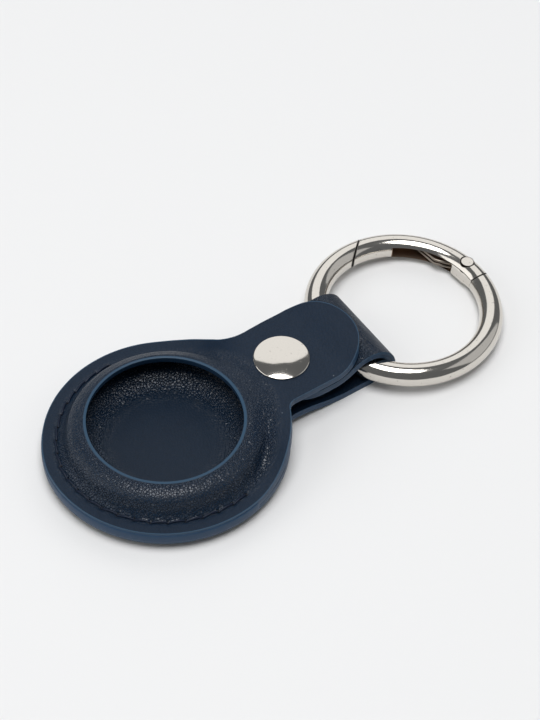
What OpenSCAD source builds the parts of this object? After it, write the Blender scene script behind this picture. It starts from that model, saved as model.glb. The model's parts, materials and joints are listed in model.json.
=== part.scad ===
// Tracker tag holder: a moulded leather disc with a strap loop, a snap and a spring-gate ring.
// Millimetres, +Z up, lying on its back; the ring is on the +X side.

/* [Body] */
// Radius of the round body
body_r = 20.4; // [20:0.05:20.8]
// Radius of the viewing window
window_r = 12.75; // [12:0.05:13.2]
// Thickness of the outer leather skin
skin_t = 0.7; // [0.6:0.05:0.8]
// Thickness of the lining leather
lining_t = 0.6; // [0.5:0.05:0.65]

/* [Front bulge] */
// Radius of the circle along the top of the bulge
crest_r = 13.7; // [13.5:0.05:13.8]
// Bend radius of the bulge, which is also its height over the flange
crest_bend_r = 3.5; // [3.3:0.05:3.6]
// Bend radius where the bulge meets the flange
foot_bend_r = 0.5; // [0.3:0.05:0.7]

/* [Back dish] */
// Depth of the dish under the back flange
dish_drop = 1.5; // [1.4:0.05:1.6]
// Radius where the dish begins
step_r = 17.4; // [17.2:0.05:17.5]
// Bend radius at the start of the dish
step_bend_r = 1; // [0.8:0.05:1.2]
// Bend radius at the bottom of the dish
heel_bend_r = 2.2; // [2:0.05:2.4]

/* [Opening tab] */
// Distance of the line where the tab bends, from the body centre
bend_x = 4.6; // [4.5:0.05:5]
// Half width of the tab
tab_half_w = 8.3; // [8.1:0.05:8.5]
// Rise of the tab over the front flange at the snap
tab_rise = 3.5; // [3.4:0.05:3.6]
// Extra rise of the tab at its tip
tip_rise = 1.7; // [1.6:0.05:1.8]
// Distance of the tab's tip from the body centre
tip_x = 36.6; // [36.3:0.05:37]
// Neck fillet radius on the +Y side
neck_left_r = 5; // [4:0.1:6]
// Neck fillet radius on the -Y side
neck_right_r = 2; // [1.5:0.1:3]

/* [Strap] */
// Half width of the strap
strap_half_w = 7.75; // [7.6:0.05:7.9]
// Neck fillet radius of the strap
strap_neck_r = 2.5; // [1.5:0.1:3]
// Where the strap starts to sink to the table
leg_start_x = 19.5; // [19:0.1:20]
// Where the strap reaches the table
leg_end_x = 31.5; // [31:0.1:32]
// Centre of the fold round the ring
arch_x = 35.2; // [35.1:0.05:35.4]
// Outer radius of the fold
arch_r = 5.6; // [5.5:0.02:5.65]
// Outer radius of the fold's lower corner
corner_r = 2; // [1.9:0.05:2.1]
// Bend radius where the strap's end levels out
dip_r = 6; // [5:0.1:7]
// Height of the strap's end over the table
tail_z = 5.3; // [5.28:0.01:5.32]
// Slope of the strap's end behind the fold, in degrees
tail_slope = 30; // [29:0.5:31]
// Distance of the strap's tip from the body centre
tail_tip_x = 18.25; // [18:0.05:18.6]

/* [Stitching] */
// Distance of the seam from the body edge
seam_inset = 2.3; // [1.9:0.05:2.4]
// Radius of the sewing thread
thread_r = 0.28; // [0.25:0.01:0.32]
// Radius of a needle hole
needle_r = 0.42; // [0.38:0.01:0.45]
// Number of stitches
stitch_count = 22; // [18:1:24]
// Angle of the first needle hole, in degrees
seam_start = 90.5; // [90:0.5:92]
// Angle of the last needle hole, in degrees
seam_end = 282; // [278:0.5:282]

/* [Snap] */
// Distance of the snap from the body centre
snap_x = 22.85; // [22.6:0.05:23.1]
// Radius of the cap
cap_r = 4.7; // [4.5:0.05:4.9]
// Height of the cap over the tab
cap_h = 0.95; // [0.9:0.01:1.05]
// Thickness of the cap's rolled rim
rim_t = 0.6; // [0.55:0.01:0.65]
// Radius of the socket
socket_r = 3.6; // [3.4:0.05:3.8]
// Radius of the stud's head
stud_head_r = 1.75; // [1.72:0.01:1.78]
// Radius of the stud's base plate
stud_base_r = 2.8; // [2.6:0.05:3]

/* [Ring] */
// Distance of the ring centre from the body centre
ring_x = 48.8; // [48.75:0.05:48.95]
// Sideways shift of the ring centre
ring_y = 0.8; // [0.4:0.1:1]
// Height of the ring centre
ring_z = 2.8; // [2.79:0.01:2.85]
// Radius of the wire's centreline
ring_r = 15; // [14.95:0.05:15.05]
// Radius of the ring's wire
wire_r = 2; // [1.94:0.01:2.01]
// Tilt of the ring, which rests on the strap and the table, in degrees
ring_tilt = 3; // [2.9:0.05:3.1]

/* [Gate] */
// Angle of the hinge pin round the ring, in degrees
pin_angle = 6.8; // [6:0.1:8]
// Radius of the gate's round hinge end
hinge_r = 3.75; // [3.6:0.05:3.85]
// Gap between the gate and the ring at both joints
joint_gap = 0.2; // [0.15:0.01:0.3]
// Angle of the outer edge of the tip joint, in degrees
tip_out_angle = 80; // [79:0.5:82]
// Angle of the inner edge of the tip joint, in degrees
tip_in_angle = 96; // [94:0.5:97]
// Height of the channel on the inner side of the gate
slot_h = 2.2; // [2.15:0.01:2.3]
// Thickness of the tongue between the gate's cheeks
tongue_t = 2; // [1.9:0.01:2.05]
// Angle where the channel ends, in degrees
slot_end_angle = 62; // [58:1:66]
// Radius of the hinge pin
pin_r = 0.65; // [0.6:0.01:0.7]
// Radius of the pin's heads
pin_head_r = 1.15; // [1.1:0.01:1.2]
// Radius of the spring wire
spring_r = 0.25; // [0.2:0.01:0.28]

/* [Hidden] */
$fn = 96;

navy = "#222c3d";
navy_lining = "#27334a";
thread_blue = "#1b2230";
nickel = "#b9b7b2";
spring_steel = "#8d867c";

panel_t = skin_t + lining_t;
seam_z = dish_drop + panel_t;
flange_z = seam_z + panel_t;
split_gap = 0.025 * wire_r;
bend_step = 0.01 * wire_r;
hair = 0.001 * wire_r;
lap = 0.25 * wire_r;

// Front bulge
foot_z = flange_z + foot_bend_r;
foot_r = crest_r + sqrt(pow(crest_bend_r + foot_bend_r, 2) - pow(foot_bend_r, 2));
reach_r = 1.1 * body_r;
high_z = 6 * flange_z;

// Back dish, with walls at 45 degrees
wall_angle = 45;
wall_sin = sin(wall_angle);
wall_run = dish_drop - (heel_bend_r + step_bend_r) * (1 - wall_sin);
heel_r = step_r - (heel_bend_r + step_bend_r) * wall_sin - wall_run;
back_top = 2.3 * heel_bend_r;

// Opening tab
tab_z = flange_z + tab_rise;
tip_z = tab_z + tip_rise;
tab_shares = [0.4625, 0.7156, 0.981];
tab_flat_x = bend_x + (tip_x - bend_x) * tab_shares[0];
tab_lift_x = bend_x + (tip_x - bend_x) * tab_shares[1];
tab_top_x = bend_x + (tip_x - bend_x) * tab_shares[2];
tab_end_x = tip_x - tab_half_w;

// Fold and strap end
corner_x = arch_x + arch_r - corner_r;
slope_x = arch_x - arch_r * sin(tail_slope);
slope_z = corner_r + arch_r * cos(tail_slope);
dip_z = tail_z + dip_r * (1 - cos(tail_slope));
dip_x = slope_x - (slope_z - dip_z) / tan(tail_slope) - dip_r * sin(tail_slope);
tail_deep_z = 0.55 * tail_z;
tail_end_x = tail_tip_x + strap_half_w;

// Stitching
seam_r = body_r - seam_inset;
stitch_step = (seam_end - seam_start) / stitch_count;
stitch_len = 2 * seam_r * sin(stitch_step / 2);
leg_r = 0.85 * thread_r;

// Snap
cap_sheet_t = 0.5 * rim_t;
rim_r = rim_t / 2;
dome_c = cap_r - rim_r;
dome_rise = cap_h - rim_t * 0.75;
dome_r = (dome_c * dome_c + dome_rise * dome_rise) / (2 * dome_rise);
seat_depth = 0.5 * lining_t;
tab_under_z = tab_z - panel_t;
tail_under_z = tail_z - panel_t;
snap_gap = tab_under_z - tail_z;
socket_top_z = tab_under_z + seat_depth;
lip_z = tail_z + 0.12 * snap_gap;
lip_t = 0.15 * snap_gap;
plate_t = 0.2 * snap_gap;
shank_r = 0.86 * stud_head_r;
shank_wall = 0.2 * shank_r;
cap_flange_r = 2 * shank_r;
clinch_r = 1.4 * shank_r;
clinch_t = 0.15 * snap_gap;
chamber_r = 1.32 * stud_head_r;
lip_r = 1.04 * stud_head_r;
neck_r = 0.77 * stud_head_r;
head_z = tail_z + 0.62 * snap_gap;
head_t = 0.28 * snap_gap;
grip_wire_r = 0.15 * snap_gap;
grip_r = stud_head_r;
grip_z = lip_z + lip_t + 1.15 * grip_wire_r;
grip_gap_angle = 50;
rivet_r = 0.57 * stud_head_r;
rivet_flange_r = 1.07 * stud_base_r;
rivet_flange_t = 0.3 * snap_gap;

// Gate
clear = 0.025 * wire_r;
tip_out = [(ring_r + wire_r) * cos(tip_out_angle), (ring_r + wire_r) * sin(tip_out_angle)];
tip_in = [(ring_r - wire_r) * cos(tip_in_angle), (ring_r - wire_r) * sin(tip_in_angle)];
tip_line = (tip_out - tip_in) / norm(tip_out - tip_in);
tip_normal = [-tip_line.y, tip_line.x];
slot_r = ring_r + 0.45 * wire_r;
eye_r = 0.68 * wire_r;
eye_clear_r = 0.76 * wire_r;
nose_at_share = [-0.55, 0.65];
nose_r = 0.475 * wire_r;
hump_at_share = [-0.2, -0.55];
hump_r = 0.85 * wire_r;
web_shares = [[-1.02, 0.65], [-1.03, -0.55], [0.5, -0.45], [0.17, 0.652], [-0.313, 1.06]];
arm_shares = [[-1.05, -2.3], [0, -2.3], [0.4, 0], [-0.95, 0]];
pin_head_z = 0.75 * wire_r;
pin_top_z = 0.98 * wire_r;
spring_shares = [0.927, 0.86, 1.037];
spring_angles = [15, 28, 46];
strand_z = 0.22 * wire_r;

// Flat-shape helpers, drawn in x and height

// Area under a face that climbs in one smooth S, moved in by d. Its two arcs cross each other
// and the flats beside them at a hair's depth, so that no edge is shared.
module climb(x0, z0, x1, z1, d, deep) {
    run = x1 - x0;
    rise = z1 - z0;
    bend_r = (run * run + rise * rise) / (4 * rise);
    half = (bend_r + d) / (2 * bend_r);
    mid_x = x0 + half * run;
    mid_z = z0 + bend_r + half * (rise - 2 * bend_r);
    difference() {
        translate([x0, deep - d])
            square([mid_x - x0, mid_z - deep + d]);
        translate([x0, z0 + bend_r - hair])
            circle(bend_r + d);
    }
    intersection() {
        translate([mid_x - lap, deep - d])
            square([x1 - mid_x + 2 * lap, z1 - deep + d + lap]);
        translate([x1, z1 - bend_r + hair])
            circle(bend_r - d);
    }
}

// Area under the front bulge, moved in by d
module bulge_section(d) {
    difference() {
        union() {
            translate([0, -d])
                square([foot_r, flange_z + d]);
            polygon([[crest_r, flange_z], [foot_r, flange_z], [foot_r, foot_z]]);
            translate([crest_r, flange_z])
                circle(crest_bend_r - d);
        }
        translate([foot_r, foot_z])
            circle(foot_bend_r + d);
    }
}

// The same with the flange round it
module front_section(d) {
    bulge_section(d);
    translate([foot_r, -d])
        square([reach_r - foot_r, flange_z]);
}

// Area under the tab's upper face, moved in by d
module tab_section(d) {
    climb(bend_x, flange_z + bend_step, tab_flat_x, tab_z, d, 0);
    translate([tab_flat_x, -d])
        square([tab_lift_x - tab_flat_x + lap, tab_z]);
    climb(tab_lift_x, tab_z, tab_top_x, tip_z, d, 0);
    translate([tab_top_x, -d])
        square([tip_x - tab_top_x + tab_half_w, tip_z]);
}

// Area over the back's lower face, moved in by d
module back_section(d) {
    heel = [heel_r + (heel_bend_r - d) * wall_sin, heel_bend_r - (heel_bend_r - d) * wall_sin];
    step_z = dish_drop - step_bend_r;
    step = [step_r - (step_bend_r + d) * wall_sin, step_z + (step_bend_r + d) * wall_sin];
    difference() {
        union() {
            translate([0, d])
                square([heel_r, back_top]);
            translate([heel_r, heel_bend_r])
                circle(heel_bend_r - d);
            polygon([
                [heel_r, heel_bend_r], heel, step, [step_r, step_z],
                [step_r, back_top + d], [heel_r, back_top + d]
            ]);
        }
        translate([step_r, step_z])
            circle(step_bend_r + d);
    }
    translate([step_r, dish_drop + d])
        square([reach_r - step_r, back_top - dish_drop]);
}

// Area inside the strap's outer face, from the body to the top of the fold, moved in by d
module strap_section(d) {
    mirror([0, 1])
        climb(leg_start_x, bend_step - dish_drop, leg_end_x, -2 * hair, d, -back_top);
    translate([leg_end_x, d + 2 * hair])
        square([arch_x - leg_end_x, back_top]);
    translate([arch_x - lap, d + 2 * hair])
        square([corner_x - arch_x + lap, corner_r - d - 2 * hair]);
    intersection() {
        translate([corner_x - lap, 0])
            square([corner_r + lap, corner_r]);
        translate([corner_x, corner_r])
            circle(corner_r - d);
    }
    intersection() {
        translate([arch_x, corner_r])
            square([arch_r, arch_r]);
        translate([arch_x, corner_r])
            circle(arch_r - d);
    }
}

// Area under the upper face of the strap's end, moved in by d
module tail_section(d) {
    down_z = tail_deep_z - d;
    px = arch_x - (arch_r - d) * sin(tail_slope);
    pz = corner_r + (arch_r - d) * cos(tail_slope);
    qx = dip_x + (dip_r + d) * sin(tail_slope);
    qz = tail_z + dip_r - (dip_r + d) * cos(tail_slope);
    drop = lap * tan(tail_slope);
    intersection() {
        translate([px - lap, down_z])
            square([arch_x - px + lap, arch_r + corner_r - down_z]);
        translate([arch_x, corner_r])
            circle(arch_r - d);
    }
    polygon([[qx - lap, down_z], [px, down_z], [px, pz - hair], [qx - lap, qz - drop - hair]]);
    difference() {
        translate([dip_x, down_z])
            square([qx - dip_x, qz - down_z]);
        translate([dip_x, tail_z + dip_r - 2 * hair])
            circle(dip_r + d);
    }
    translate([tail_tip_x - strap_half_w, down_z])
        square([dip_x - tail_tip_x + strap_half_w + lap, tail_z - tail_deep_z]);
}

module side_on(width) {
    rotate([90, 0, 0])
        linear_extrude(width, center = true)
            children();
}

// Whole forms, moved in by d

module front_form(d) {
    rotate_extrude()
        front_section(d);
}

module flap_form(d) {
    rotate_extrude()
        bulge_section(d);
    side_on(3 * body_r)
        tab_section(d);
}

module back_form(d) {
    rotate_extrude()
        back_section(d);
    side_on(3 * body_r)
        strap_section(d);
}

// Outlines seen from above

module neck(half_w, fillet_r) {
    neck_x = sqrt(pow(body_r + fillet_r, 2) - pow(half_w + fillet_r, 2));
    difference() {
        polygon([[0, 0], [neck_x, 0], [neck_x, half_w + fillet_r]]);
        translate([neck_x, half_w + fillet_r])
            circle(fillet_r);
    }
}

module flap_outline() {
    circle(body_r);
    translate([0, -tab_half_w])
        square([tab_end_x, 2 * tab_half_w]);
    translate([tab_end_x, 0])
        circle(tab_half_w);
    neck(tab_half_w, neck_left_r);
    mirror([0, 1])
        neck(tab_half_w, neck_right_r);
}

module back_outline() {
    circle(body_r);
    translate([0, -strap_half_w])
        square([2 * arch_x, 2 * strap_half_w]);
    neck(strap_half_w, strap_neck_r);
    mirror([0, 1])
        neck(strap_half_w, strap_neck_r);
}

module tail_outline() {
    translate([tail_end_x, -strap_half_w])
        square([arch_x - split_gap - tail_end_x, 2 * strap_half_w]);
    translate([tail_end_x, 0])
        circle(strap_half_w);
}

module needle_holes() {
    for (i = [0 : stitch_count])
        rotate(seam_start + i * stitch_step)
            translate([seam_r, 0, 0])
                cylinder(high_z, needle_r, needle_r);
}

module snap_hole(r) {
    translate([snap_x, 0, 0])
        cylinder(high_z, r, r);
}

// Leather

// The sewn part of the front, between two depths
module front_layer(d0, d1) {
    difference() {
        intersection() {
            difference() {
                front_form(d0);
                front_form(d1);
            }
            translate([-reach_r, -reach_r, 0])
                cube([reach_r + bend_x - split_gap, 2 * reach_r, high_z]);
            cylinder(high_z, body_r, body_r);
        }
        cylinder(high_z, window_r, window_r);
        needle_holes();
    }
}

// The part of the front that opens, between two depths
module flap_layer(d0, d1) {
    difference() {
        intersection() {
            difference() {
                flap_form(d0);
                flap_form(d1);
            }
            translate([bend_x + split_gap, -reach_r, 0])
                cube([tip_x, 2 * reach_r, high_z]);
            linear_extrude(high_z)
                flap_outline();
        }
        cylinder(high_z, window_r, window_r);
        snap_hole(shank_r);
    }
}

// The back with the strap up to the top of the fold, between two depths
module back_layer(d0, d1) {
    difference() {
        intersection() {
            difference() {
                back_form(d0);
                back_form(d1);
            }
            linear_extrude(high_z)
                back_outline();
        }
        needle_holes();
    }
}

// The strap's end under the tab, between two depths
module tail_layer(d0, d1) {
    difference() {
        intersection() {
            side_on(3 * body_r)
                difference() {
                    tail_section(d0);
                    tail_section(d1);
                }
            linear_extrude(high_z)
                tail_outline();
        }
        snap_hole(rivet_r);
    }
}

module front_panel() {
    color(navy)
        front_layer(0, skin_t);
}

module front_lining() {
    color(navy_lining)
        front_layer(skin_t, panel_t);
}

module flap_panel() {
    color(navy)
        flap_layer(0, skin_t);
}

module flap_lining() {
    color(navy_lining)
        difference() {
            flap_layer(skin_t, panel_t);
            translate([snap_x, 0, 0])
                cylinder(socket_top_z, socket_r, socket_r);
        }
}

module back_panel() {
    color(navy)
        back_layer(0, skin_t);
}

module back_lining() {
    color(navy_lining)
        back_layer(skin_t, panel_t);
}

module strap_tail() {
    color(navy)
        difference() {
            tail_layer(0, skin_t);
            translate([snap_x, 0, tail_z - seat_depth])
                cylinder(tail_z, stud_base_r, stud_base_r);
        }
}

module tail_lining() {
    color(navy_lining)
        tail_layer(skin_t, panel_t);
}

// Stitching

module seam_side(face_z, out) {
    for (i = [0 : stitch_count])
        rotate(seam_start + i * stitch_step)
            translate([seam_r, 0, min(seam_z, face_z + out * thread_r)])
                cylinder(abs(face_z + out * thread_r - seam_z), leg_r, leg_r);
    for (i = [0 : stitch_count - 1])
        rotate(seam_start + (i + 0.5) * stitch_step)
            translate([seam_r * cos(stitch_step / 2), 0, face_z + out * thread_r])
                rotate([90, 0, 0])
                    cylinder(stitch_len - thread_r / 4, thread_r, thread_r, center = true);
}

module top_thread() {
    color(thread_blue)
        seam_side(flange_z, 1);
}

module bobbin_thread() {
    color(thread_blue)
        seam_side(dish_drop, -1);
}

// Snap

module snap_cap() {
    color(nickel)
        translate([snap_x, 0, tab_z])
            rotate_extrude() {
                intersection() {
                    translate([0, rim_r])
                        square([dome_c, cap_h]);
                    difference() {
                        translate([0, cap_h - dome_r])
                            circle(dome_r);
                        translate([0, cap_h - dome_r])
                            circle(dome_r - cap_sheet_t);
                    }
                }
                translate([dome_c, rim_r])
                    circle(rim_r);
            }
}

module cap_post() {
    color(nickel)
        translate([snap_x, 0, 0])
            difference() {
                union() {
                    translate([0, 0, tab_z])
                        cylinder(plate_t, cap_flange_r, cap_flange_r);
                    translate([0, 0, socket_top_z - plate_t - clinch_t])
                        cylinder(tab_z - socket_top_z + plate_t + clinch_t, shank_r, shank_r);
                    translate([0, 0, socket_top_z - plate_t - clinch_t])
                        cylinder(clinch_t, clinch_r, clinch_r);
                }
                cylinder(tab_z, shank_r - shank_wall, shank_r - shank_wall);
            }
}

module snap_socket() {
    color(nickel)
        translate([snap_x, 0, 0])
            difference() {
                union() {
                    translate([0, 0, lip_z])
                        cylinder(lip_t, socket_r - lip_t, socket_r);
                    translate([0, 0, lip_z + lip_t])
                        cylinder(socket_top_z - lip_z - lip_t, socket_r, socket_r);
                }
                cylinder(high_z, shank_r, shank_r);
                cylinder(lip_z + lip_t, lip_r, lip_r);
                translate([0, 0, lip_z + lip_t])
                    cylinder(socket_top_z - plate_t - lip_z - lip_t, chamber_r, chamber_r);
            }
}

module socket_spring() {
    color(spring_steel)
        translate([snap_x, 0, grip_z])
            rotate(grip_gap_angle / 2)
                rotate_extrude(angle = 360 - grip_gap_angle)
                    translate([grip_r, 0])
                        circle(grip_wire_r);
}

module snap_stud() {
    color(nickel)
        translate([snap_x, 0, 0])
            difference() {
                union() {
                    translate([0, 0, tail_z - seat_depth])
                        cylinder(seat_depth, stud_base_r, stud_base_r);
                    translate([0, 0, tail_z])
                        cylinder(head_z - tail_z, neck_r, neck_r);
                    translate([0, 0, head_z])
                        cylinder(head_t / 2, stud_head_r, stud_head_r);
                    translate([0, 0, head_z + head_t / 2])
                        cylinder(head_t / 2, stud_head_r, stud_head_r - head_t / 2);
                }
                cylinder(head_z, rivet_r, rivet_r);
            }
}

module stud_post() {
    color(nickel)
        translate([snap_x, 0, 0]) {
            translate([0, 0, tail_under_z - rivet_flange_t])
                cylinder(rivet_flange_t, rivet_flange_r, rivet_flange_r);
            translate([0, 0, tail_under_z])
                cylinder(head_z - tail_under_z, rivet_r, rivet_r);
        }
}

// Ring and gate

module in_ring() {
    translate([ring_x, ring_y, ring_z])
        rotate([0, ring_tilt, 0])
            children();
}

module at_pin() {
    rotate(pin_angle)
        translate([ring_r, 0, 0])
            children();
}

module wire_loop() {
    rotate_extrude()
        translate([ring_r, 0])
            circle(wire_r);
}

// The sector between the hinge and the tip joint, moved off that joint by gap
module gate_sector(gap) {
    far = 1.6 * ring_r;
    shift = -gap * tip_normal;
    linear_extrude(4 * wire_r, center = true)
        polygon([
            [0, 0],
            [far * cos(pin_angle), far * sin(pin_angle)],
            [far, far] * 0.75,
            tip_out + tip_line * ring_r / 2 + shift,
            tip_in - tip_line * ring_r / 3 + shift
        ]);
}

module round_at_pin(r) {
    at_pin()
        cylinder(4 * wire_r, r, r, center = true);
}

// The tongue ends short of the channel's floor, except at its eye
module tongue_shape() {
    circle(eye_r);
    intersection() {
        union() {
            translate(nose_at_share * wire_r)
                circle(nose_r);
            translate(hump_at_share * wire_r)
                circle(hump_r);
            polygon(web_shares * wire_r);
            polygon(arm_shares * wire_r);
        }
        translate([-ring_r, 0])
            circle(slot_r - 2 * clear);
    }
}

module tongue() {
    at_pin()
        linear_extrude(tongue_t, center = true)
            tongue_shape();
}

module ring_body() {
    color(nickel)
        in_ring()
            difference() {
                union() {
                    difference() {
                        wire_loop();
                        gate_sector(-joint_gap / 2);
                        round_at_pin(hinge_r + joint_gap);
                    }
                    tongue();
                }
                round_at_pin(pin_r);
            }
}

module gate_channel() {
    far = 1.6 * ring_r;
    linear_extrude(slot_h, center = true)
        intersection() {
            circle(slot_r);
            polygon([
                [0, 0],
                [far * cos(pin_angle), -far * sin(2 * pin_angle)],
                [far, far * 0.8],
                [far * cos(slot_end_angle), far * sin(slot_end_angle)]
            ]);
        }
    at_pin()
        cylinder(slot_h, eye_clear_r, eye_clear_r, center = true);
}

module ring_gate() {
    color(nickel)
        in_ring()
            difference() {
                intersection() {
                    wire_loop();
                    union() {
                        gate_sector(joint_gap / 2);
                        round_at_pin(hinge_r);
                    }
                }
                gate_channel();
                round_at_pin(pin_r + clear);
                at_pin()
                    translate([0, 0, pin_head_z - clear])
                        cylinder(wire_r, pin_head_r + clear, pin_head_r + clear);
                at_pin()
                    translate([0, 0, clear - pin_head_z - wire_r])
                        cylinder(wire_r, pin_head_r + clear, pin_head_r + clear);
            }
}

module gate_pin() {
    color(nickel)
        in_ring()
            at_pin() {
                cylinder(2 * pin_head_z, pin_r, pin_r, center = true);
                translate([0, 0, pin_head_z])
                    cylinder(pin_top_z - pin_head_z, pin_head_r, pin_head_r);
                translate([0, 0, -pin_top_z])
                    cylinder(pin_top_z - pin_head_z, pin_head_r, pin_head_r);
            }
}

// Place of a point of the spring wire, counted from its root
function spring_at(i) =
    ring_r * spring_shares[i] * [cos(spring_angles[i]), sin(spring_angles[i])];

// A straight piece of spring wire from one of those places to the next
module strand(i) {
    from = spring_at(i);
    run = spring_at(i + 1) - from;
    translate([from.x, from.y, 0])
        rotate([0, 90, atan2(run.y, run.x)])
            cylinder(norm(run), spring_r, spring_r);
}

module spring_knuckle(i) {
    rotate(spring_angles[i])
        translate([ring_r * spring_shares[i], 0, 0])
            sphere(1.05 * spring_r);
}

module gate_spring() {
    color(spring_steel)
        in_ring()
            difference() {
                union() {
                    for (side = [-1, 1])
                        translate([0, 0, side * strand_z])
                            for (i = [0, 1]) {
                                strand(i);
                                spring_knuckle(i + 1);
                            }
                    rotate(spring_angles[2])
                        translate([ring_r * spring_shares[2], 0, 0])
                            cylinder(2 * strand_z, spring_r, spring_r, center = true);
                }
                at_pin()
                    translate(nose_at_share * wire_r)
                        cylinder(tongue_t, nose_r, nose_r, center = true);
            }
}

front_panel();
front_lining();
flap_panel();
flap_lining();
back_panel();
back_lining();
strap_tail();
tail_lining();
top_thread();
bobbin_thread();
snap_cap();
cap_post();
snap_socket();
socket_spring();
snap_stud();
stud_post();
ring_body();
ring_gate();
gate_pin();
gate_spring();
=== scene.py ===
"""Looks of a tracker tag holder: formed leather, edge paint, a stitched seam, a snap and a nickel ring.

The file is laid out as a Blender add-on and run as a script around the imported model.
Sizes are in metres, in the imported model's frame: +X towards the ring, +Z up through the window.
"""

import json
import math

import bmesh
import bpy
import numpy as np
from bpy.props import FloatProperty, FloatVectorProperty, IntProperty, PointerProperty, StringProperty
from mathutils import Matrix, Vector


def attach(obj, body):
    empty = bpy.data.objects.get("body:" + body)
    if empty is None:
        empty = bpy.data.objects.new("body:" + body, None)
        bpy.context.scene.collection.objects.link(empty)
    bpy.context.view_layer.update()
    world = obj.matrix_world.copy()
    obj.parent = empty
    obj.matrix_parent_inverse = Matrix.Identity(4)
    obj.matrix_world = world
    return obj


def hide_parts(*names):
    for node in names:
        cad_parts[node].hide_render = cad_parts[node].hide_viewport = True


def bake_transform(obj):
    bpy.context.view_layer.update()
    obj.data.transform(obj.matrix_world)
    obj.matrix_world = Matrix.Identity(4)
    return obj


bl_info = {
    "name": "Tracker tag holder",
    "version": (1, 0, 0),
    "blender": (4, 5, 0),
    "location": "View3D > Sidebar > Tag holder",
    "description": "Builds the looks of a moulded leather tag holder with a snap tab and a key ring",
    "category": "Object",
}

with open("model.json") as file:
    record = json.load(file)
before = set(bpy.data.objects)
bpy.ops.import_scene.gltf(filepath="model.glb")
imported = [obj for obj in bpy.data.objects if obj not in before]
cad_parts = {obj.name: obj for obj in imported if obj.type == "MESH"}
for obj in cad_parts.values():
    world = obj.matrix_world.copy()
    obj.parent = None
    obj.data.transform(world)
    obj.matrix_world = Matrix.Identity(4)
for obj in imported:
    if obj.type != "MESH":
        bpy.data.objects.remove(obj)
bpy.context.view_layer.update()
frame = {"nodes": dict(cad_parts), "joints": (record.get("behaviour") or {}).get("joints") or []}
JOINTS = {joint["name"]: joint for joint in frame["joints"]}
MM = 0.001
CM = 10 * MM
TINY = 1e-7  # keeps a division from zero


def linear(hex_colour):
    """The linear colour of an sRGB hex value, with alpha 1."""
    digits = hex_colour.lstrip("#")
    channels = [int(digits[i:i + 2], 16) / 255 for i in (0, 2, 4)]
    return [c / 12.92 if c <= 0.04045 else ((c + 0.055) / 1.055) ** 2.4 for c in channels] + [1.0]


# Sizes and colours that a user would change


def length(name, description, default):
    """A property that holds a length."""
    return FloatProperty(name=name, description=description, default=default, unit="LENGTH",
                         subtype="DISTANCE")


def turn(name, description, degrees):
    """A property that holds an angle."""
    return FloatProperty(name=name, description=description, default=math.radians(degrees), subtype="ANGLE")


def fraction(name, description, default):
    """A property that holds a share, from 0 to 1."""
    return FloatProperty(name=name, description=description, default=default, min=0, max=1)


def tint(name, what, default):
    """A property that holds an sRGB colour in hex."""
    return StringProperty(name=name, description=f"sRGB hex of {what}", default=default)


class LeatherSizes(bpy.types.PropertyGroup):
    body_r: length("Body radius", "Radius of the round body", 20.4 * MM)
    window_r: length("Window radius", "Radius of the viewing window", 12.75 * MM)
    panel_t: length("Panel thickness", "Skin and lining together", 1.3 * MM)
    skin_share: fraction("Skin share", "Part of the thickness that is skin", 0.54)
    crest_r: length("Crest radius", "Radius of the circle along the top of the bulge", 13.5 * MM)
    bulge_h: length("Bulge height", "Height of the bulge over the flange", 3.6 * MM)
    crest_bend_r: length("Crest bend", "Bend radius along the top of the bulge", 3.8 * MM)
    shoulder_angle: turn("Shoulder angle", "Slope where the crest turns into the tighter shoulder", 40)
    shoulder_r: length("Shoulder bend", "Bend radius of the bulge's shoulder", 1.1 * MM)
    wall_angle: turn("Wall angle", "Slope of the bulge's wall", 66)
    foot_bend_r: length("Foot bend", "Bend radius where the bulge meets the flange", 2.0 * MM)
    flange_z: length("Front flange height", "Top of the front flange", 4.1 * MM)
    blend_w: length("Blend width", "Softness of the valley between the bulge and the tab", 1.4 * MM)
    bend_x: length("Bend line", "Where the tab starts to bend up", 4.6 * MM)
    tab_half_w: length("Tab half width", "Half of the tab's width", 8.3 * MM)
    grain_at: turn("Grain side", "Direction of the side on which the bulge's grain stands out most", 250)
    grain_least: fraction("Least grain", "Share of the grain left on the other side", 0.45)
    late_rise: length("Late rise", "How much later the tab rises on the side of the wider fillet", 4.0 * MM)
    tab_flat_x: length("Tab level", "Where the tab levels out", 19.4 * MM)
    tab_z: length("Tab height", "Top of the tab at the snap", 7.6 * MM)
    tab_lift_x: length("Tab lift", "Where the tab rises over the fold", 27.5 * MM)
    tab_top_x: length("Tab top", "Where that rise ends", 36.0 * MM)
    tip_z: length("Tip height", "Top of the tab at its tip", 9.3 * MM)
    tip_x: length("Tip distance", "The tab's tip from the body centre", 36.6 * MM)
    neck_left_r: length("Left neck fillet", "Fillet between body and tab on the +Y side", 5 * MM)
    neck_right_r: length("Right neck fillet", "Fillet between body and tab on the -Y side", 2 * MM)
    edge_r: length("Edge rounding", "Rounding of the painted edges", 0.28 * MM)
    pull: length("Flange pull", "How much narrower the flange is at its narrowest than opposite", 1.15 * MM)
    pull_at: turn("Flange pull angle", "Where the flange is narrowest", 80)
    paint_lap: length("Paint lap", "Width of the edge paint that laps over the grain side", 0.14 * MM)
    rim_lap: length("Window paint lap", "The same round the window", 0.48 * MM)
    cove_start_r: length("Cove start", "Radius where the lining starts to rise in the dish", 9.5 * MM)
    cove_r: length("Cove bend", "Bend radius of the lining in the dish", 10 * MM)


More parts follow.
